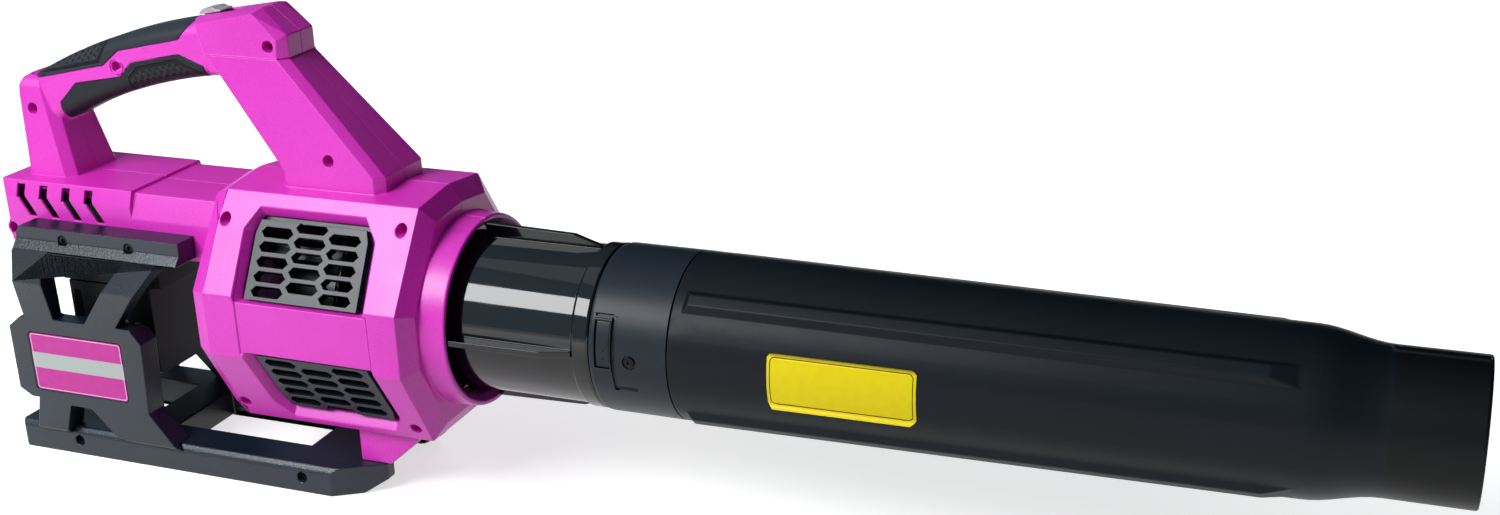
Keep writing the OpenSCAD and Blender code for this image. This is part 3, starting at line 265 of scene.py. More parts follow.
@dataclass(frozen=True)
class DimpledGrip(Finish):
    """Soft grip with a dimpled panel inside a fine groove, with painted shade in the dimples and the
    groove.

    Attributes:
        panel_mm: Line of the panel's edge in the side view, [X, Z], panel on its left.
        pitch_mm: Distance from dimple to dimple.
        slant_deg: Turn of the rows of dimples against the grip's length.
        depth_mm: Depth of the groove.
        dimple_depth: Depth of a dimple as a share of the groove's.
        dimple_r: Radius of a dimple's floor and of its rim as shares of the pitch.
        main_from: Height of the relief above which the pad has its main colour; below it the painted shade
            of dimples and groove darkens it.
        margin_mm: Distance inside the panel's edge at which the dimples start and are full.
        groove_mm: Half the width of the groove at its floor and at its rim.
        arch_mm: Centre of the grip's arch, [X, Z].
        arch_r_mm: Radius of the arch at the middle of the grip.
        grip_r_mm: Radius of the grip's section.
    """

    panel_mm: tuple[tuple[float, float], ...] = ()
    pitch_mm: float = 4.2
    slant_deg: float = 45.0
    depth_mm: float = 0.9
    dimple_depth: float = 0.55
    dimple_r: tuple[float, float] = (0.22, 0.42)
    main_from: float = 0.95
    margin_mm: tuple[float, float] = (1.8, 2.2)
    groove_mm: tuple[float, float] = (0.6, 1.3)
    arch_mm: tuple[float, float] = (-292.0, -246.0)
    arch_r_mm: float = 419.5
    grip_r_mm: float = 18.0

    @property
    def bump_mm(self) -> float:
        """Height between the groove's floor and the pad's surface."""
        return self.depth_mm

    def inside(self, tree: Tree, place: Socket) -> Socket:
        """Distance inside the panel's edge, in metres.

        Args:
            tree: The material's tree.
            place: Object coordinates in metres.

        Returns:
            The socket that carries the distance, below 0 outside the panel.
        """
        nearest: Socket | None = None
        for (x0, z0), (x1, z1) in zip(self.panel_mm, self.panel_mm[1:]):
            normal = Vector((z0 - z1, 0.0, x1 - x0)).normalized()
            dot = add_node(tree, "ShaderNodeVectorMath", {"operation": "DOT_PRODUCT", 0: place, 1: normal})
            side = add_node(tree, "ShaderNodeMath", {
                "operation": "SUBTRACT", 0: dot.outputs["Value"], 1: normal.dot(row_point(x0, 0.0, z0))})
            if nearest is not None:
                side = add_node(tree, "ShaderNodeMath", {
                    "operation": "MINIMUM", 0: nearest, 1: side.outputs[0]})
            nearest = side.outputs[0]
        return nearest

    def unrolled(self, tree: Tree, place: Socket) -> Socket:
        """Place on the grip's skin, laid out flat along and round the arch.

        Args:
            tree: The material's tree.
            place: Object coordinates in metres.

        Returns:
            The socket that carries the flat place, in metres.
        """
        centre = row_point(self.arch_mm[0], 0.0, self.arch_mm[1])
        arm = add_node(tree, "ShaderNodeVectorMath", {"operation": "SUBTRACT", 0: place, 1: centre})
        flat = add_node(tree, "ShaderNodeVectorMath", {
            "operation": "MULTIPLY", 0: arm.outputs[0], 1: (1.0, 0.0, 1.0)})
        reach = add_node(tree, "ShaderNodeVectorMath", {"operation": "LENGTH", 0: flat.outputs[0]})
        axes = add_node(tree, "ShaderNodeSeparateXYZ", {0: arm.outputs[0]})
        rise = add_node(tree, "ShaderNodeMath", {
            "operation": "SUBTRACT", 0: reach.outputs["Value"], 1: self.arch_r_mm * MM})
        turn = add_node(tree, "ShaderNodeMath", {
            "operation": "ARCTAN2", 0: axes.outputs[1], 1: rise.outputs[0]})
        along = add_node(tree, "ShaderNodeMath", {
            "operation": "ARCTAN2", 0: axes.outputs[0], 1: axes.outputs[2]})
        angles = add_node(tree, "ShaderNodeCombineXYZ", {0: along.outputs[0], 1: turn.outputs[0]})
        return add_node(tree, "ShaderNodeVectorMath", {
            "operation": "MULTIPLY", 0: angles.outputs[0],
            1: (self.arch_r_mm * MM, self.grip_r_mm * MM, 0.0)}).outputs[0]

    def relief(self, tree: Tree, place: Socket) -> Socket:
        """Height of grain, dimples and groove together, from 0 to 1.

        Args:
            tree: The material's tree.
            place: Object coordinates in metres.

        Returns:
            The socket that carries the height.
        """
        slant = add_node(tree, "ShaderNodeMapping", {
            "Rotation": (0.0, 0.0, math.radians(self.slant_deg)), "Vector": self.unrolled(tree, place)})
        cell = add_node(tree, "ShaderNodeTexVoronoi", {
            "voronoi_dimensions": "2D", "Scale": 1 / (self.pitch_mm * MM), "Randomness": 0.0,
            "Vector": slant.outputs[0]})
        dimple = add_node(tree, "ShaderNodeMapRange", {
            "From Min": self.dimple_r[0], "From Max": self.dimple_r[1], "To Min": self.dimple_depth,
            "To Max": 0.0, "Value": cell.outputs["Distance"]})
        inside = self.inside(tree, place)
        within = add_node(tree, "ShaderNodeMapRange", {
            "From Min": self.margin_mm[0] * MM, "From Max": self.margin_mm[1] * MM, "Value": inside})
        edge = add_node(tree, "ShaderNodeMath", {"operation": "ABSOLUTE", 0: inside})
        groove = add_node(tree, "ShaderNodeMapRange", {
            "From Min": self.groove_mm[0] * MM, "From Max": self.groove_mm[1] * MM,
            "Value": edge.outputs[0]})
        dents = add_node(tree, "ShaderNodeMath", {
            "operation": "MULTIPLY", 0: dimple.outputs[0], 1: within.outputs[0]})
        level = add_node(tree, "ShaderNodeMath", {
            "operation": "SUBTRACT", 0: groove.outputs[0], 1: dents.outputs[0]})
        fine = add_node(tree, "ShaderNodeMath", {
            "operation": "MULTIPLY", 0: Finish.relief(self, tree, place),
            1: self.relief_mm / self.depth_mm})
        return add_node(tree, "ShaderNodeMath", {
            "operation": "ADD", 0: level.outputs[0], 1: fine.outputs[0]}).outputs[0]

    def tint(self, tree: Tree, place: Socket, height: Socket) -> Socket:
        """Colour, with painted shade that darkens the dimples and the groove.

        Args:
            tree: The material's tree.
            place: Object coordinates in metres; not used.
            height: Height of the relief.

        Returns:
            The socket that carries the colour.
        """
        # Painted shade: dimples and groove take the dark second colour in place of their shadows.
        share = add_node(tree, "ShaderNodeMapRange", {
            "From Min": self.main_from, "From Max": 1.0 - self.dimple_depth, "Value": height})
        return add_node(tree, "ShaderNodeMix", {
            "data_type": "RGBA", 0: share.outputs[0], MIX_UNDER: linear(self.colour),
            MIX_OVER: linear(self.shade)}).outputs[MIX_COLOUR]


@dataclass(frozen=True)
class ShadedTipTube(Finish):
    """Blown tube whose end spigot is drawn blacker than the rest, as painted shade.

    Attributes:
        from_mm: X at which the spigot starts.
        fade_mm: Half the length over which the colour changes.
        painted_tip_shade: Colour of the spigot, painted shade, sRGB hex.
    """

    from_mm: float = 420.0
    fade_mm: float = 0.5
    # Painted shade: the spigot is drawn blacker than the rest of the tube.
    painted_tip_shade: str = "#060708"

    def tint(self, tree: Tree, place: Socket, height: Socket) -> Socket:
        """Colour of the tube, with painted shade that makes the spigot blacker.

        Args:
            tree: The material's tree.
            place: Object coordinates in metres.
            height: Height of the relief.

        Returns:
            The socket that carries the colour.
        """
        axes = add_node(tree, "ShaderNodeSeparateXYZ", {0: place})
        start = self.from_mm + ORIGIN_X
        share = add_node(tree, "ShaderNodeMapRange", {
            "From Min": (start - self.fade_mm) * MM, "From Max": (start + self.fade_mm) * MM,
            "Value": axes.outputs[0]})
        return add_node(tree, "ShaderNodeMix", {
            "data_type": "RGBA", 0: share.outputs[0], MIX_UNDER: Finish.tint(self, tree, place, height),
            MIX_OVER: linear(self.painted_tip_shade)}).outputs[MIX_COLOUR]


@dataclass(frozen=True)
class BorderedFilm(Finish):
    """Printed film with a plain keyline inside its edge and, where wanted, a plain stripe.

    Attributes:
        middle_mm: Middle of the film, [X, across].
        half_mm: Half its length and half its width.
        line: Colour of the keyline, sRGB hex.
        line_at_mm: Distance of the keyline from the film's edge.
        line_mm: Width of the keyline.
        corner_mm: Corner radius of the keyline.
        stripe: Colour of the stripe along the film, sRGB hex, or nothing.
        stripe_mm: Lower and upper edge of the stripe across the film.
        fade_mm: Width over which an edge of the print softens.
        wrap_mm: Radius of the tube that the film is stuck round, or 0 on a flat plate.
    """

    middle_mm: tuple[float, float] = (0.0, 0.0)
    half_mm: tuple[float, float] = (10.0, 10.0)
    line: str = "#000000"
    line_at_mm: float = 1.5
    line_mm: float = 0.6
    corner_mm: float = 3.0
    stripe: str = ""
    stripe_mm: tuple[float, float] = (0.0, 0.0)
    fade_mm: float = 0.1
    wrap_mm: float = 0.0

    def across(self, tree: Tree, axes: bpy.types.Node) -> Socket:
        """Place across the film, in metres, from the middle.

        Args:
            tree: The material's tree.
            axes: Node that gives X, Y and Z apart.

        Returns:
            The socket that carries the place.
        """
        if not self.wrap_mm:
            return add_node(tree, "ShaderNodeMath", {
                "operation": "SUBTRACT", 0: axes.outputs[2],
                1: (self.middle_mm[1] + ORIGIN_Z) * MM}).outputs[0]
        lift = add_node(tree, "ShaderNodeMath", {
            "operation": "SUBTRACT", 0: axes.outputs[2], 1: ORIGIN_Z * MM})
        side = add_node(tree, "ShaderNodeMath", {"operation": "MULTIPLY", 0: axes.outputs[1], 1: -1.0})
        turn = add_node(tree, "ShaderNodeMath", {
            "operation": "ARCTAN2", 0: lift.outputs[0], 1: side.outputs[0]})
        return add_node(tree, "ShaderNodeMath", {
            "operation": "MULTIPLY", 0: turn.outputs[0], 1: self.wrap_mm * MM}).outputs[0]

    def striped(self, tree: Tree, across: Socket, base: Socket) -> Socket:
        """Lays the stripe over the film's colour.

        Args:
            tree: The material's tree.
            across: Place across the film, in metres.
            base: Colour of the film.

        Returns:
            The socket that carries the colour.
        """
        low, high = self.stripe_mm
        off = add_node(tree, "ShaderNodeMath", {
            "operation": "SUBTRACT", 0: across, 1: (low + high) / 2 * MM})
        away = add_node(tree, "ShaderNodeMath", {"operation": "ABSOLUTE", 0: off.outputs[0]})
        band = add_node(tree, "ShaderNodeMapRange", {
            "From Min": (high - low) / 2 * MM, "From Max": ((high - low) / 2 - self.fade_mm) * MM,
            "Value": away.outputs[0]})
        return add_node(tree, "ShaderNodeMix", {
            "data_type": "RGBA", 0: band.outputs[0], MIX_UNDER: base,
            MIX_OVER: linear(self.stripe)}).outputs[MIX_COLOUR]

    def off_line(self, tree: Tree, along: Socket, across: Socket) -> Socket:
        """Distance from the middle of the keyline, in metres.

        Args:
            tree: The material's tree.
            along: Place along the film from its middle, in metres.
            across: Place across the film from its middle, in metres.

        Returns:
            The socket that carries the distance.
        """
        past = []
        for socket, half in zip((along, across), self.half_mm):
            away = add_node(tree, "ShaderNodeMath", {"operation": "ABSOLUTE", 0: socket})
            over = add_node(tree, "ShaderNodeMath", {
                "operation": "SUBTRACT", 0: away.outputs[0],
                1: (half - self.line_at_mm - self.corner_mm) * MM})
            past.append(add_node(tree, "ShaderNodeMath", {
                "operation": "MAXIMUM", 0: over.outputs[0], 1: 0.0}))
        corner = add_node(tree, "ShaderNodeCombineXYZ", {0: past[0].outputs[0], 1: past[1].outputs[0]})
        reach = add_node(tree, "ShaderNodeVectorMath", {"operation": "LENGTH", 0: corner.outputs[0]})
        gap = add_node(tree, "ShaderNodeMath", {
            "operation": "SUBTRACT", 0: reach.outputs["Value"], 1: self.corner_mm * MM})
        return add_node(tree, "ShaderNodeMath", {"operation": "ABSOLUTE", 0: gap.outputs[0]}).outputs[0]

    def tint(self, tree: Tree, place: Socket, height: Socket) -> Socket:
        """Colour of the film with its keyline and stripe.

        Args:
            tree: The material's tree.
            place: Object coordinates in metres.
            height: Height of the relief.

        Returns:
            The socket that carries the colour.
        """
        base = Finish.tint(self, tree, place, height)
        axes = add_node(tree, "ShaderNodeSeparateXYZ", {0: place})
        along = add_node(tree, "ShaderNodeMath", {
            "operation": "SUBTRACT", 0: axes.outputs[0], 1: (self.middle_mm[0] + ORIGIN_X) * MM})
        across = self.across(tree, axes)
        if self.stripe:
            base = self.striped(tree, across, base)
        line = add_node(tree, "ShaderNodeMapRange", {
            "From Min": self.line_mm / 2 * MM, "From Max": (self.line_mm / 2 - self.fade_mm) * MM,
            "Value": self.off_line(tree, along.outputs[0], across)})
        return add_node(tree, "ShaderNodeMix", {
            "data_type": "RGBA", 0: line.outputs[0], MIX_UNDER: base,
            MIX_OVER: linear(self.line)}).outputs[MIX_COLOUR]


class Shop:
    """Keeps each finish's material, so that it is made once."""

    def __init__(self) -> None:
        """Starts with no materials."""
        self.made: dict[str, bpy.types.Material] = {}

    def get(self, finish: Finish) -> bpy.types.Material:
        """Gives a finish's material.

        Args:
            finish: The finish wanted.

        Returns:
            Its material.
        """
        if finish.name not in self.made:
            self.made[finish.name] = finish.build()
        return self.made[finish.name]


# ABS dyed through, moulded in a spark-eroded tool: an even sandy grain that spreads the highlights.
MAGENTA_ABS = Finish("abs_magenta_spark_eroded", "#e838cc", "#da24bc", 0.36, grain_mm=1.1,
                     relief_mm=0.09, specular=0.6)
# Glass-filled nylon of cages and base: a coarser grain that glitters a little, and a dull blue-grey black.
GREY_NYLON = Finish("nylon_dark_grey_spark_eroded", "#182636", "#0d1620", 0.30, grain_mm=1.3,
                    relief_mm=0.24)
# The same nylon moulded smoother for the battery's case and dock, darker than the cages: partly the case's
# own black and partly painted shade for the shaded bay under the deck.
CASE_NYLON = Finish("nylon_battery_case_satin", "#101418", "#0b0e11", 0.45, grain_mm=0.8,
                    relief_mm=0.04, specular=0.25)
# Blown polypropylene: satin black with a fine sandblasted grain and a blue-grey sheen. Its end spigot is
# drawn blacker, as painted shade.
TUBE_PP = ShadedTipTube("polypropylene_blown_satin_black", "#0b131c", "#070c12", 0.42, grain_mm=0.9,
                      relief_mm=0.06, specular=0.2)
# Collar moulded in a finer, tighter grain than the tube.
COLLAR_PP = Finish("polypropylene_collar_satin_black", "#16222e", "#0f1821", 0.42, grain_mm=0.7,
                   relief_mm=0.04, specular=0.3)
# Polished ABS of the duct: mirror-like, with the faint long waves of its flow.
GLOSS_ABS = Finish("abs_polished_black", "#04070b", "#030406", 0.05, Grain.PEEL, 14.0, 0.03)
# Grille moulding: satin black that picks up a blue-grey sheen on its flat bars.
GRILLE_ABS = Finish("abs_grille_satin", "#101a24", "#0a1119", 0.32, relief_mm=0.03, specular=0.35)
# Small black mouldings behind and beside the others.
BLACK_ABS = Finish("abs_satin_black", "#1d2023", "#15171a", 0.42, relief_mm=0.03)
# Glass-filled nylon of the fan, moulded smooth for balance.
FAN_NYLON = Finish("nylon_fan_smooth_black", "#25272a", "#1e2022", 0.36)
# Soft elastomer over-moulded on the grip, with a dimpled panel on the pad's rear or front. The dimples are
# drawn about twice as coarse as moulded, because the real ones are too fine to show. Each pad's second
# colour is painted shade in its dimples and groove.
# Painted light and shade: the top pad is coloured lighter than the underside pad, though both are one
# elastomer.
TOP_TPE = DimpledGrip("tpe_grip_top_dimpled", "#282d33", "#050607", 0.45, grain_mm=0.5, relief_mm=0.03,
                      specular=0.2, panel_mm=((-498.0, 143.5), (-433.0, 157.0), (-418.0, 192.0)))
LOW_TPE = DimpledGrip("tpe_grip_underside_dimpled", "#1c2024", "#030404", 0.48, grain_mm=0.5,
                      relief_mm=0.03, specular=0.2,
                      panel_mm=((-343.0, 150.0), (-368.0, 161.5), (-401.0, 154.0), (-408.5, 146.5),
                                (-410.0, 124.0)))
# Pale smoke-grey polycarbonate of the thumb slider, polished.
SLIDER_PC = Finish("polycarbonate_smoke_polished", "#b9b4bb", "#aaa5ad", 0.18, Grain.PEEL, 3.0, 0.01)
# Blackened steel of the deep screws, which only glints.
BLACK_STEEL = Finish("steel_blackened", "#2a2b2d", "#222325", 0.34, Grain.TURNED, 0.4, 0.01, 1.0)
# Bright zinc on the small screws and bearings.
ZINC_STEEL = Finish("steel_zinc_plated", "#c4c6c6", "#aeb1b3", 0.28, Grain.TURNED, 0.4, 0.01, 1.0)
# Turned steel of shaft and rotor can, with the tool's rings.
TURNED_STEEL = Finish("steel_turned", "#55585c", "#45484b", 0.38, Grain.TURNED, 0.35, 0.02, 1.0)
# Enamelled copper wire, wound: warm brown ridges.
COPPER_WIRE = Finish("copper_enamelled_wound", "#a3642f", "#7c4820", 0.35, Grain.TURNED, 1.0, 0.25, 0.6)
# Extruded aluminium of the heat sink.
BARE_ALUMINIUM = Finish("aluminium_extruded", "#c6c9cc", "#b4b8bc", 0.34, Grain.TURNED, 0.5, 0.02, 1.0)
# Plated brass blades of the contacts.
PLATED_BRASS = Finish("brass_plated", "#cfa75c", "#c29a50", 0.26, Grain.ERODED, 0.4, 0.01, 1.0)
# Glass-epoxy board under green solder resist.
BOARD_FR4 = Finish("glass_epoxy_green_resist", "#15552c", "#0f3f20", 0.38, Grain.ERODED, 2.0, 0.05)
# Shrunk film round the cells.
CELL_FILM = Finish("pvc_shrink_wrap_blue", "#2f6fb0", "#285f9a", 0.28, Grain.PEEL, 4.0, 0.02)
# Sleeve of the motor leads.
LEAD_PVC = Finish("pvc_lead_red", "#8d1712", "#7a120e", 0.38, Grain.PEEL, 1.5, 0.01)
# Seal ring, a trace of talc on black rubber.
SEAL_NBR = Finish("nitrile_rubber_black", "#151515", "#202020", 0.55)
# Yellow label film with a black keyline and nothing else on it.
YELLOW_FILM = BorderedFilm("polyester_label_yellow", "#ffea00", "#fce400", 0.34, Grain.PEEL, 5.0, 0.01,
                           specular=0.3, middle_mm=(112.5, 0.0), half_mm=(46.5, 17.3), line="#1d1a08",
                           line_at_mm=2.0, line_mm=0.7, corner_mm=3.0, wrap_mm=53.9)
# Magenta plate film with a pale keyline and a plain mint-grey stripe.
MAGENTA_FILM = BorderedFilm("polyester_plate_magenta", "#cc149c", "#c21394", 0.24, Grain.PEEL, 5.0, 0.01,
                            middle_mm=(-452.5, -55.0), half_mm=(39.8, 21.8), line="#e6b6da",
                            line_at_mm=0.9, line_mm=0.8, corner_mm=2.0, stripe="#b4bcb8",
                            stripe_mm=(-5.0, 7.0))


# ---------------------------------------------------------------- modelling

# Vertices nearer than this are one.
MERGE_M = 0.00001
# Faces that turn less than this towards each other are one flat face.
FLAT_DEG = 0.6
# Edges that turn more than this are rounded.
BROKEN_DEG = 13.0
# Edges that still turn more than this after that stay sharp in the shading.
SHARP_DEG = 50.0
# Distance off a moulding's surface, as a share of the edge's width, that rounding alone explains.
ROUNDING_SHARE = 0.7
# Steps across the round corner of a film.
CORNER_STEPS = 6


def deselect_all() -> None:
    """Leaves nothing selected, in object mode."""
    active = bpy.context.view_layer.objects.active
    if active and active.mode != "OBJECT":
        bpy.ops.object.mode_set(mode="OBJECT")
    bpy.ops.object.select_all(action="DESELECT")


def activate(piece: bpy.types.Object) -> None:
    """Selects one object alone and makes it the active one.

    Args:
        piece: The object.
    """
    deselect_all()
    piece.select_set(True)
    bpy.context.view_layer.objects.active = piece


@dataclass(frozen=True)
class Edge:
    """How the edges of a moulding are broken.

    Attributes:
        width_mm: Width of the rounded edge, or 0 for edges left as cut.
        segments: Steps across it.
    """

    width_mm: float
    segments: int = 2


# Films keep the edges they were cut with, and screw heads have a plain chamfer.
AS_CUT = Edge(0.0)
SCREW_EDGE = Edge(0.25, 1)


def refined_copy(node: str, edge: Edge) -> bpy.types.Object:
    """Copies a solid's mesh, merges it and rounds its edges.

    Args:
        node: The solid's name.
        edge: How its edges are broken.

    Returns:
        The copy, in place.
    """
    source = frame["nodes"][node]
    piece = bpy.data.objects.new(node + "_skin", source.data.copy())
    bpy.context.scene.collection.objects.link(piece)
    piece.data.materials.clear()
    activate(piece)
    bpy.ops.object.mode_set(mode="EDIT")
    bpy.ops.mesh.select_all(action="SELECT")
    bpy.ops.mesh.remove_doubles(threshold=MERGE_M)
    bpy.ops.mesh.customdata_custom_splitnormals_clear()
    bpy.ops.mesh.dissolve_limited(angle_limit=math.radians(FLAT_DEG))
    bpy.ops.object.mode_set(mode="OBJECT")
    if edge.width_mm > 0:
        bevel = piece.modifiers.new("edges", "BEVEL")
        bevel.width = edge.width_mm * MM
        bevel.segments = edge.segments
        bevel.limit_method = "ANGLE"
        bevel.angle_limit = math.radians(BROKEN_DEG)
        bevel.use_clamp_overlap = False
        bpy.ops.object.modifier_apply(modifier=bevel.name)
        settle(piece, source, edge.width_mm * ROUNDING_SHARE)
    bpy.ops.object.shade_smooth_by_angle(angle=math.radians(SHARP_DEG))
    if edge.width_mm > 0:
        even = piece.modifiers.new("even", "WEIGHTED_NORMAL")
        even.keep_sharp = True
        bpy.ops.object.modifier_apply(modifier=even.name)
    return piece


def settle(piece: bpy.types.Object, source: bpy.types.Object, reach_mm: float) -> None:
    """Brings vertices that a bevel threw off the moulding back to its surface.

    Args:
        piece: The bevelled copy.
        source: The solid it was copied from.
        reach_mm: Distance from the surface that is still right for a rounded edge.
    """
    for vertex in piece.data.vertices:
        found, place, _, _ = source.closest_point_on_mesh(vertex.co)
        if found and (place - vertex.co).length > reach_mm * MM:
            vertex.co = place


def round_corners(film: bpy.types.Object, places: list[tuple[float, float]],
                  near: tuple[float, float], radius_mm: float) -> None:
    """Rounds the four corners of a film.

    Args:
        film: The film's skin.
        places: Each vertex's place along and across the film.
        near: How near to the film's ends, along and across, the vertices of a corner are.
        radius_mm: Radius of the corners.
    """
    ends = [(min(axis), max(axis)) for axis in zip(*places)]
    corner = [all(min(abs(value - end) for end in pair) < reach
                  for value, pair, reach in zip(place, ends, near)) for place in places]
    activate(film)
    bpy.ops.object.mode_set(mode="EDIT")
    bpy.ops.mesh.select_all(action="DESELECT")
    bpy.ops.object.mode_set(mode="OBJECT")
    for edge in film.data.edges:
        edge.select = all(corner[vertex] for vertex in edge.vertices)
    bpy.ops.object.mode_set(mode="EDIT")
    bpy.ops.mesh.select_mode(type="EDGE")
    bpy.ops.mesh.bevel(offset=radius_mm * MM, segments=CORNER_STEPS, affect="EDGES")
    bpy.ops.object.mode_set(mode="OBJECT")
    LOG.info("%s: corners rounded, %d faces", film.name, len(film.data.polygons))


class Dresser:
    """Gives CAD nodes and new pieces their finish, and new pieces their body."""

    def __init__(self, shop: Shop) -> None:
        """Keeps the shop and reads which slot and body each node has.

        Args:
            shop: Where the materials are made.
        """
        self.shop = shop
        self.slots = {s["node"]: s["material_slot"] for s in frame["record"]["subparts"]}
        self.body_of: dict[str, str] = {
            node: body for body, nodes in frame["record"]["behaviour"]["bodies"].items() for node in nodes}

    def paint(self, node: str, finish: Finish) -> None:
        """Puts a finish on a CAD node as it is.

        Args:
            node: The node's name.
            finish: Its finish.
        """
        target = frame["nodes"][node]
        target.data.materials.clear()
        target.data.materials.append(self.shop.get(finish))
        LOG.info("%s: %s", node, finish.name)

    def skin(self, node: str, finish: Finish, edge: Edge) -> bpy.types.Object:
        """Shows a refined copy of a node in its place.

        Args:
            node: The node's name.
            finish: Its finish.
            edge: How its edges are broken.

        Returns:
            The copy.
        """
        piece = refined_copy(node, edge)
        piece.data.materials.append(self.shop.get(finish))
        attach(piece, self.body_of[node])
        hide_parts(node)
        LOG.info("%s: %d faces, %s", piece.name, len(piece.data.polygons), finish.name)
        return piece


# ---------------------------------------------------------------- stage

WHITE = (1.0, 1.0, 1.0, 1.0)
SENSOR_MM = 36.0


@dataclass(frozen=True)
class SoftBox:
    """One rectangular lamp.

    Attributes:
        name: The lamp's name.
        place_m: Where it hangs.
        aim_m: The point it faces.
        size_m: Its width and height.
        watts: Its power.
        mirrored: Whether glossy surfaces show it.
    """

    name: str
    place_m: Point
    aim_m: Point
    size_m: tuple[float, float]
    watts: float
    mirrored: bool = True

    def build(self) -> None:
        """Hangs the lamp."""
        data = bpy.data.lights.new(self.name, "AREA")
        data.shape = "RECTANGLE"
        data.size, data.size_y = self.size_m
        data.energy = self.watts
        lamp = bpy.data.objects.new(self.name, data)
        bpy.context.scene.collection.objects.link(lamp)
        lamp.location = self.place_m
        facing = Vector(self.aim_m) - Vector(self.place_m)
        lamp.rotation_euler = facing.to_track_quat("-Z", "Y").to_euler()
        lamp.visible_glossy = self.mirrored


WINDOW = SoftBox("window", (-0.8, -1.1, 1.15), (-0.12, 0.0, 0.14), (1.0, 0.6), 25.5)
OVERHEAD = SoftBox("overhead", (-0.4, -0.2, 1.7), (-0.1, 0.0, 0.1), (1.4, 0.8), 1.5)
REAR = SoftBox("rear", (-0.4, 1.5, 1.1), (0.0, 0.0, 0.15), (1.4, 0.6), 6.0, mirrored=False)


@dataclass
class Stage:
    """Floor, room, lamps and camera.

    Attributes:
        floor_m: Length of the floor's sides.
        floor_grey: How much of the light the floor throws back.
        glow_at_m: Distances from the middle between which the seen floor brightens.
        glow: Strength of the seen floor's glow at those distances.
        window_side: Direction of the lighter side of the room.
        room_at: How far a direction points to the window where the room is darkest and lightest.
        room: Brightness of the room there.
        room_colour: Colour of the room, linear.
        room_level: Strength of the room on matte surfaces and in mirrors.
        camera_mm: Camera place in the working frame.
        focal_px: Focal length in pixels of the 1500 px wide frame.
        width_px: Width of the frame in pixels.
        clip_m: Nearest distance that the camera sees.
        right: The camera's right in the row frame.
        down: The camera's down in the row frame.
    """

    floor_m: float = 12.0
    floor_grey: float = 0.7
    glow_at_m: tuple[float, float] = (0.3, 0.9)
    glow: tuple[float, float] = (0.66, 1.0)
    window_side: Point = (-0.62, -0.70, 0.35)
    room_at: tuple[float, float] = (-0.3, 0.9)
    room: tuple[float, float] = (0.03, 1.0)
    room_colour: tuple[float, float, float, float] = (0.62, 0.82, 1.0, 1.0)
    room_level: tuple[float, float] = (0.14, 0.8)
    camera_mm: Point = (424.7, -979.8, 447.0)
    focal_px: float = 1800.0
    width_px: float = 1500.0
    clip_m: float = 0.01
    right: Point = (0.9330, 0.3588, -0.0280)
    down: Point = (0.1010, -0.3330, -0.9370)

    def build(self) -> None:
        """Makes the floor, the world, the lamps and the camera."""
        self.floor()
        self.world()
        for lamp in (WINDOW, OVERHEAD, REAR):
            lamp.build()
        self.camera()
        bpy.context.scene.view_settings.view_transform = "Standard"

    def floor(self) -> None:
        """Makes the pale floor, which glows towards white for the camera and in mirrors alone."""
        deselect_all()
        bpy.ops.mesh.primitive_plane_add(size=self.floor_m, location=(0, 0, 0))
        plane = bpy.context.active_object
        plane.name = "floor"
        material = bpy.data.materials.new("floor_white")
        tree = empty_tree(material)
        grey = (self.floor_grey, self.floor_grey, self.floor_grey, 1.0)
        matte = add_node(tree, "ShaderNodeBsdfDiffuse", {"Color": grey})
        place = add_node(tree, "ShaderNodeTexCoord")
        reach = add_node(tree, "ShaderNodeVectorMath", {
            "operation": "LENGTH", 0: place.outputs["Object"]})
        level = add_node(tree, "ShaderNodeMapRange", {
            "From Min": self.glow_at_m[0], "From Max": self.glow_at_m[1],
            "To Min": self.glow[0], "To Max": self.glow[1], "Value": reach.outputs["Value"]})
        glow = add_node(tree, "ShaderNodeEmission", {"Color": WHITE, "Strength": level.outputs[0]})
        both = add_node(tree, "ShaderNodeAddShader", {0: matte.outputs[0], 1: glow.outputs[0]})
        path = add_node(tree, "ShaderNodeLightPath")
        seen = add_node(tree, "ShaderNodeMath", {
            "operation": "MAXIMUM", 0: path.outputs["Is Camera Ray"], 1: path.outputs["Is Glossy Ray"]})
        pick = add_node(tree, "ShaderNodeMixShader", {
            0: seen.outputs[0], 1: matte.outputs[0], 2: both.outputs[0]})
        add_node(tree, "ShaderNodeOutputMaterial", {"Surface": pick.outputs[0]})
        plane.data.materials.append(material)

    def world(self) -> None:
        """Makes the room: white behind the object, lighter on the window's side than opposite it."""
        world = bpy.data.worlds.new("studio")
        bpy.context.scene.world = world
        tree = empty_tree(world)
        place = add_node(tree, "ShaderNodeTexCoord")
        towards = add_node(tree, "ShaderNodeVectorMath", {
            "operation": "DOT_PRODUCT", 0: place.outputs["Generated"], 1: self.window_side})
        path = add_node(tree, "ShaderNodeLightPath")
        room = add_node(tree, "ShaderNodeMapRange", {
            "From Min": self.room_at[0], "From Max": self.room_at[1],
            "To Min": self.room[0], "To Max": self.room[1], "Value": towards.outputs["Value"]})
        level = add_node(tree, "ShaderNodeMapRange", {
            "To Min": self.room_level[0], "To Max": self.room_level[1],
            "Value": path.outputs["Is Glossy Ray"]})
        strength = add_node(tree, "ShaderNodeMath", {
            "operation": "MULTIPLY", 0: room.outputs[0], 1: level.outputs[0]})
        soft = add_node(tree, "ShaderNodeBackground", {
            "Color": self.room_colour, "Strength": strength.outputs[0]})
        white = add_node(tree, "ShaderNodeBackground", {"Color": WHITE, "Strength": 1.0})
        pick = add_node(tree, "ShaderNodeMixShader", {
            0: path.outputs["Is Camera Ray"], 1: soft.outputs[0], 2: white.outputs[0]})
        add_node(tree, "ShaderNodeOutputWorld", {"Surface": pick.outputs[0]})

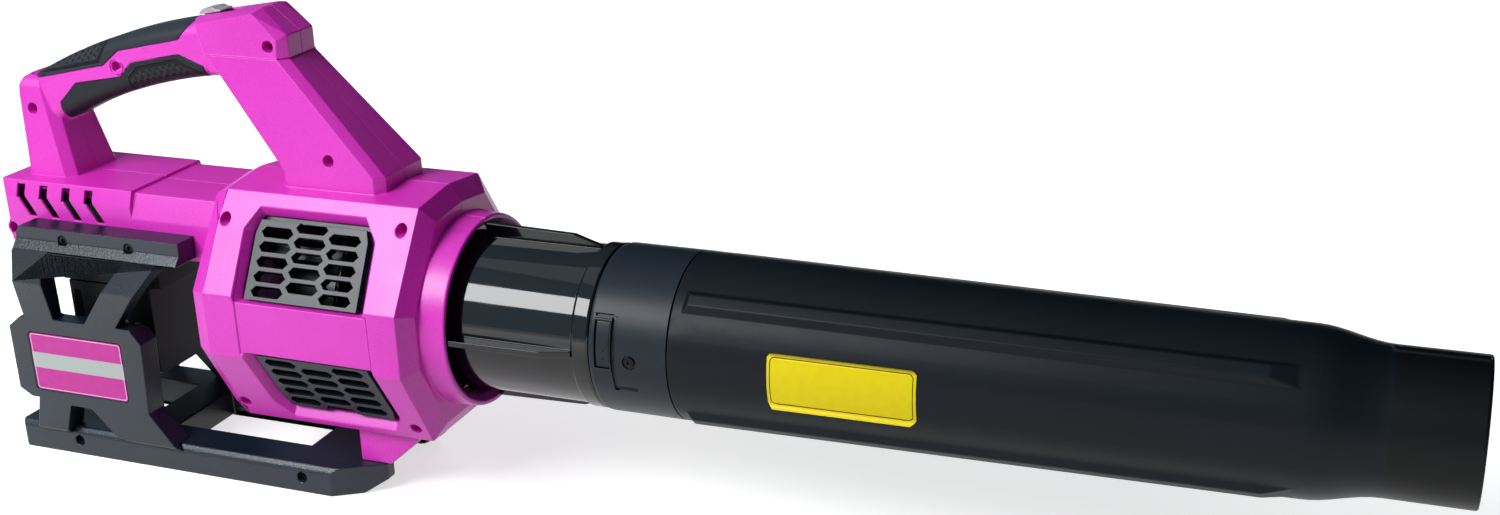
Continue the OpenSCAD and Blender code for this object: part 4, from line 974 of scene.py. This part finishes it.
    def camera(self) -> None:
        """Makes the camera."""
        data = bpy.data.cameras.new("camera")
        data.sensor_width = SENSOR_MM
        data.lens = self.focal_px / self.width_px * SENSOR_MM
        data.clip_start = self.clip_m
        camera = bpy.data.objects.new("camera", data)
        bpy.context.scene.collection.objects.link(camera)
        right = Vector(self.right).normalized()
        up = -Vector(self.down)
        up = (up - right * up.dot(right)).normalized()
        back = right.cross(up)
        turn = Matrix((right, up, back)).transposed().to_4x4()
        camera.matrix_world = Matrix.Translation(row_point(*self.camera_mm)) @ turn
        bpy.context.scene.camera = camera


# ---------------------------------------------------------------- sub-assemblies


@dataclass
class Housing:
    """The clamshell with its screws and intake grilles.

    Attributes:
        dresser: Who dresses the nodes.
        shell_edge: Edges of the two halves.
        grille_edge: Edges of the grilles' bars.
    """

    dresser: Dresser
    shell_edge: Edge = Edge(0.8)
    grille_edge: Edge = Edge(0.3)

    def build(self) -> None:
        """Dresses both halves, the grilles and the screws."""
        for side in ("right", "left"):
            self.dresser.skin("housing_" + side, MAGENTA_ABS, self.shell_edge)
            self.dresser.skin("intake_grille_" + side, GRILLE_ABS, self.grille_edge)
        self.dresser.skin("housing_screws", BLACK_STEEL, SCREW_EDGE)


@dataclass
class Handle:
    """The soft pads, the speed slider and its switch.

    Attributes:
        dresser: Who dresses the nodes.
        pad_edge: Edges of the soft pads.
        slider_edge: Edges of the slider.
    """

    dresser: Dresser
    pad_edge: Edge = Edge(0.9, 3)
    slider_edge: Edge = Edge(0.6, 3)

    def build(self) -> None:
        """Dresses the pads, the slider and the switch."""
        for side in ("right", "left"):
            self.dresser.skin("grip_pad_top_" + side, TOP_TPE, self.pad_edge)
            self.dresser.skin("grip_pad_bottom_" + side, LOW_TPE, self.pad_edge)
        self.dresser.skin("speed_slider", SLIDER_PC, self.slider_edge)
        self.dresser.paint("speed_switch", BLACK_ABS)


@dataclass
class AirPath:
    """Duct, fan and motor.

    Attributes:
        dresser: Who dresses the nodes.
        duct_edge: Edges of the duct and of the motor inside it.
        blade_edge: Edges of the fan's blades.
    """

    dresser: Dresser
    duct_edge: Edge = Edge(0.5)
    blade_edge: Edge = Edge(0.3)

    def build(self) -> None:
        """Dresses the duct, the fan and the motor."""
        self.dresser.skin("outlet_duct", GLOSS_ABS, self.duct_edge)
        self.dresser.paint("duct_seal", SEAL_NBR)
        self.dresser.skin("axial_fan", FAN_NYLON, self.blade_edge)
        self.dresser.paint("motor_shaft", TURNED_STEEL)
        self.dresser.skin("motor_can", TURNED_STEEL, self.duct_edge)
        self.dresser.paint("motor_stator", COPPER_WIRE)
        self.dresser.skin("motor_mount", BLACK_ABS, self.duct_edge)
        self.dresser.paint("motor_bearings", ZINC_STEEL)
        self.dresser.paint("motor_screws", ZINC_STEEL)
        self.dresser.paint("motor_leads", LEAD_PVC)


@dataclass
class BlowTube:
    """Tube with its coupling, label and release button.

    Attributes:
        dresser: Who dresses the nodes.
        tube_edge: Edges of the tube.
        collar_edge: Edges of the collar.
        button_edge: Edges of the button.
        screw_edge: Edges of the coupling's screws.
        label_corner_mm: Corner radius of the label film.
        label_near: How near to the label's ends its corner vertices are, in metres and in radians.
        label_sharp_deg: Edges of the label that turn more than this stay sharp in the shading.
        dot_at: Places of the raised dots: X in mm, angle above the right side in degrees.
        dot_r_mm: Radius of a dot.
        dot_steps: Faces round a dot and from one side of it to the other.
        dot_flatness: Height of a dot as a share of its radius.
        button_r_mm: Radius of the button's face about the tube axis.
    """

    dresser: Dresser
    tube_edge: Edge = Edge(1.2, 3)
    collar_edge: Edge = Edge(0.35)
    button_edge: Edge = Edge(0.5)
    screw_edge: Edge = Edge(0.3)
    label_corner_mm: float = 3.5
    label_near: tuple[float, float] = (0.0004, 0.006)
    label_sharp_deg: float = 32.0
    dot_at: tuple[tuple[float, float], ...] = ((-43.5, 6.3), (-43.5, 0.2))
    dot_r_mm: float = 0.9
    dot_steps: tuple[int, int] = (16, 8)
    dot_flatness: float = 0.55
    button_r_mm: float = 54.7

    def build(self) -> None:
        """Dresses the tube, collar, button, label and screws."""
        self.dresser.skin("blow_tube", TUBE_PP, self.tube_edge)
        self.dresser.skin("coupling_collar", COLLAR_PP, self.collar_edge)
        button = self.dresser.skin("release_button", COLLAR_PP, self.button_edge)
        self.add_dots(button)
        self.dresser.skin("coupling_screws", BLACK_STEEL, self.screw_edge)
        label = self.dresser.skin("tube_label", YELLOW_FILM, AS_CUT)
        self.round_label(label)

    def add_dots(self, button: bpy.types.Object) -> None:
        """Models one flat dot, copies it and joins the copies to the button.

        Args:
            button: The button's skin.
        """
        deselect_all()
        bpy.ops.mesh.primitive_uv_sphere_add(
            segments=self.dot_steps[0], ring_count=self.dot_steps[1], radius=self.dot_r_mm * MM)
        dot = bpy.context.active_object
        bpy.ops.object.mode_set(mode="EDIT")
        bpy.ops.mesh.select_all(action="SELECT")
        bpy.ops.transform.resize(value=(1.0, self.dot_flatness, 1.0))
        bpy.ops.object.mode_set(mode="OBJECT")
        bpy.ops.object.shade_smooth()
        copies = []
        for x, angle in self.dot_at:
            copy = dot.copy()
            copy.data = dot.data.copy()
            bpy.context.scene.collection.objects.link(copy)
            turn = math.radians(angle)
            place = row_point(x, -self.button_r_mm * math.cos(turn), self.button_r_mm * math.sin(turn))
            copy.data.transform(Matrix.Translation(place) @ Matrix.Rotation(-turn, 4, "X"))
            copies.append(copy)
        bpy.data.objects.remove(dot)
        activate(button)
        for copy in copies:
            copy.data.materials.append(button.data.materials[0])
            copy.select_set(True)
        bpy.ops.object.join()
        LOG.info("%s: %d dots", button.name, len(self.dot_at))

    def round_label(self, label: bpy.types.Object) -> None:
        """Rounds the label's corners, measured along the tube and round its axis.

        Args:
            label: The label's skin.
        """
        places = [(v.co.x, math.atan2(v.co.z - ORIGIN_Z * MM, -v.co.y)) for v in label.data.vertices]
        round_corners(label, places, self.label_near, self.label_corner_mm)
        bpy.ops.object.shade_smooth_by_angle(angle=math.radians(self.label_sharp_deg))


@dataclass
class Undercarriage:
    """Cages, rating plate and skid base.

    Attributes:
        dresser: Who dresses the nodes.
        cage_edge: Edges of the cages.
        skid_edge: Edges of the skid base.
        plate_corner_mm: Corner radius of the rating plate.
        plate_near_m: How near to the plate's ends its corner vertices are, along and across.
    """

    dresser: Dresser
    cage_edge: Edge = Edge(0.9)
    skid_edge: Edge = Edge(1.2)
    plate_corner_mm: float = 2.6
    plate_near_m: tuple[float, float] = (0.0004, 0.0004)

    def build(self) -> None:
        """Dresses the cages, the base, their screws and the plate."""
        for side in ("right", "left"):
            self.dresser.skin("cage_" + side, GREY_NYLON, self.cage_edge)
        self.dresser.skin("cage_screws", BLACK_STEEL, SCREW_EDGE)
        self.dresser.skin("skid_base", GREY_NYLON, self.skid_edge)
        self.dresser.skin("skid_screws", BLACK_STEEL, SCREW_EDGE)
        plate = self.dresser.skin("rating_plate", MAGENTA_FILM, AS_CUT)
        places = [(v.co.x, v.co.z) for v in plate.data.vertices]
        round_corners(plate, places, self.plate_near_m, self.plate_corner_mm)


@dataclass
class Battery:
    """Dock, pack, cells and latch, with the electronics over them.

    Attributes:
        dresser: Who dresses the nodes.
        case_edge: Edges of the dock and of the pack's case.
        latch_edge: Edges of the latch.
    """

    dresser: Dresser
    case_edge: Edge = Edge(0.8)
    latch_edge: Edge = Edge(0.4)

    def build(self) -> None:
        """Dresses the dock, the pack and the electronics over them."""
        self.dresser.skin("battery_dock", CASE_NYLON, self.case_edge)
        self.dresser.skin("battery_pack", CASE_NYLON, self.case_edge)
        self.dresser.skin("pack_latch", BLACK_ABS, self.latch_edge)
        self.dresser.skin("pack_screws", ZINC_STEEL, SCREW_EDGE)
        self.dresser.paint("battery_cells", CELL_FILM)
        self.dresser.paint("dock_terminals", PLATED_BRASS)
        self.dresser.paint("controller_board", BOARD_FR4)
        self.dresser.paint("heat_sink", BARE_ALUMINIUM)


def main() -> None:
    """Builds the stage and every sub-assembly."""
    logging.basicConfig(level=logging.INFO, format="%(name)s: %(message)s")
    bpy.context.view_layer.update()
    Stage().build()
    dresser = Dresser(Shop())
    for part in (Housing, Handle, AirPath, BlowTube, Undercarriage, Battery):
        LOG.info("building %s", part.__name__)
        part(dresser).build()


if __name__ == "__main__":
    main()
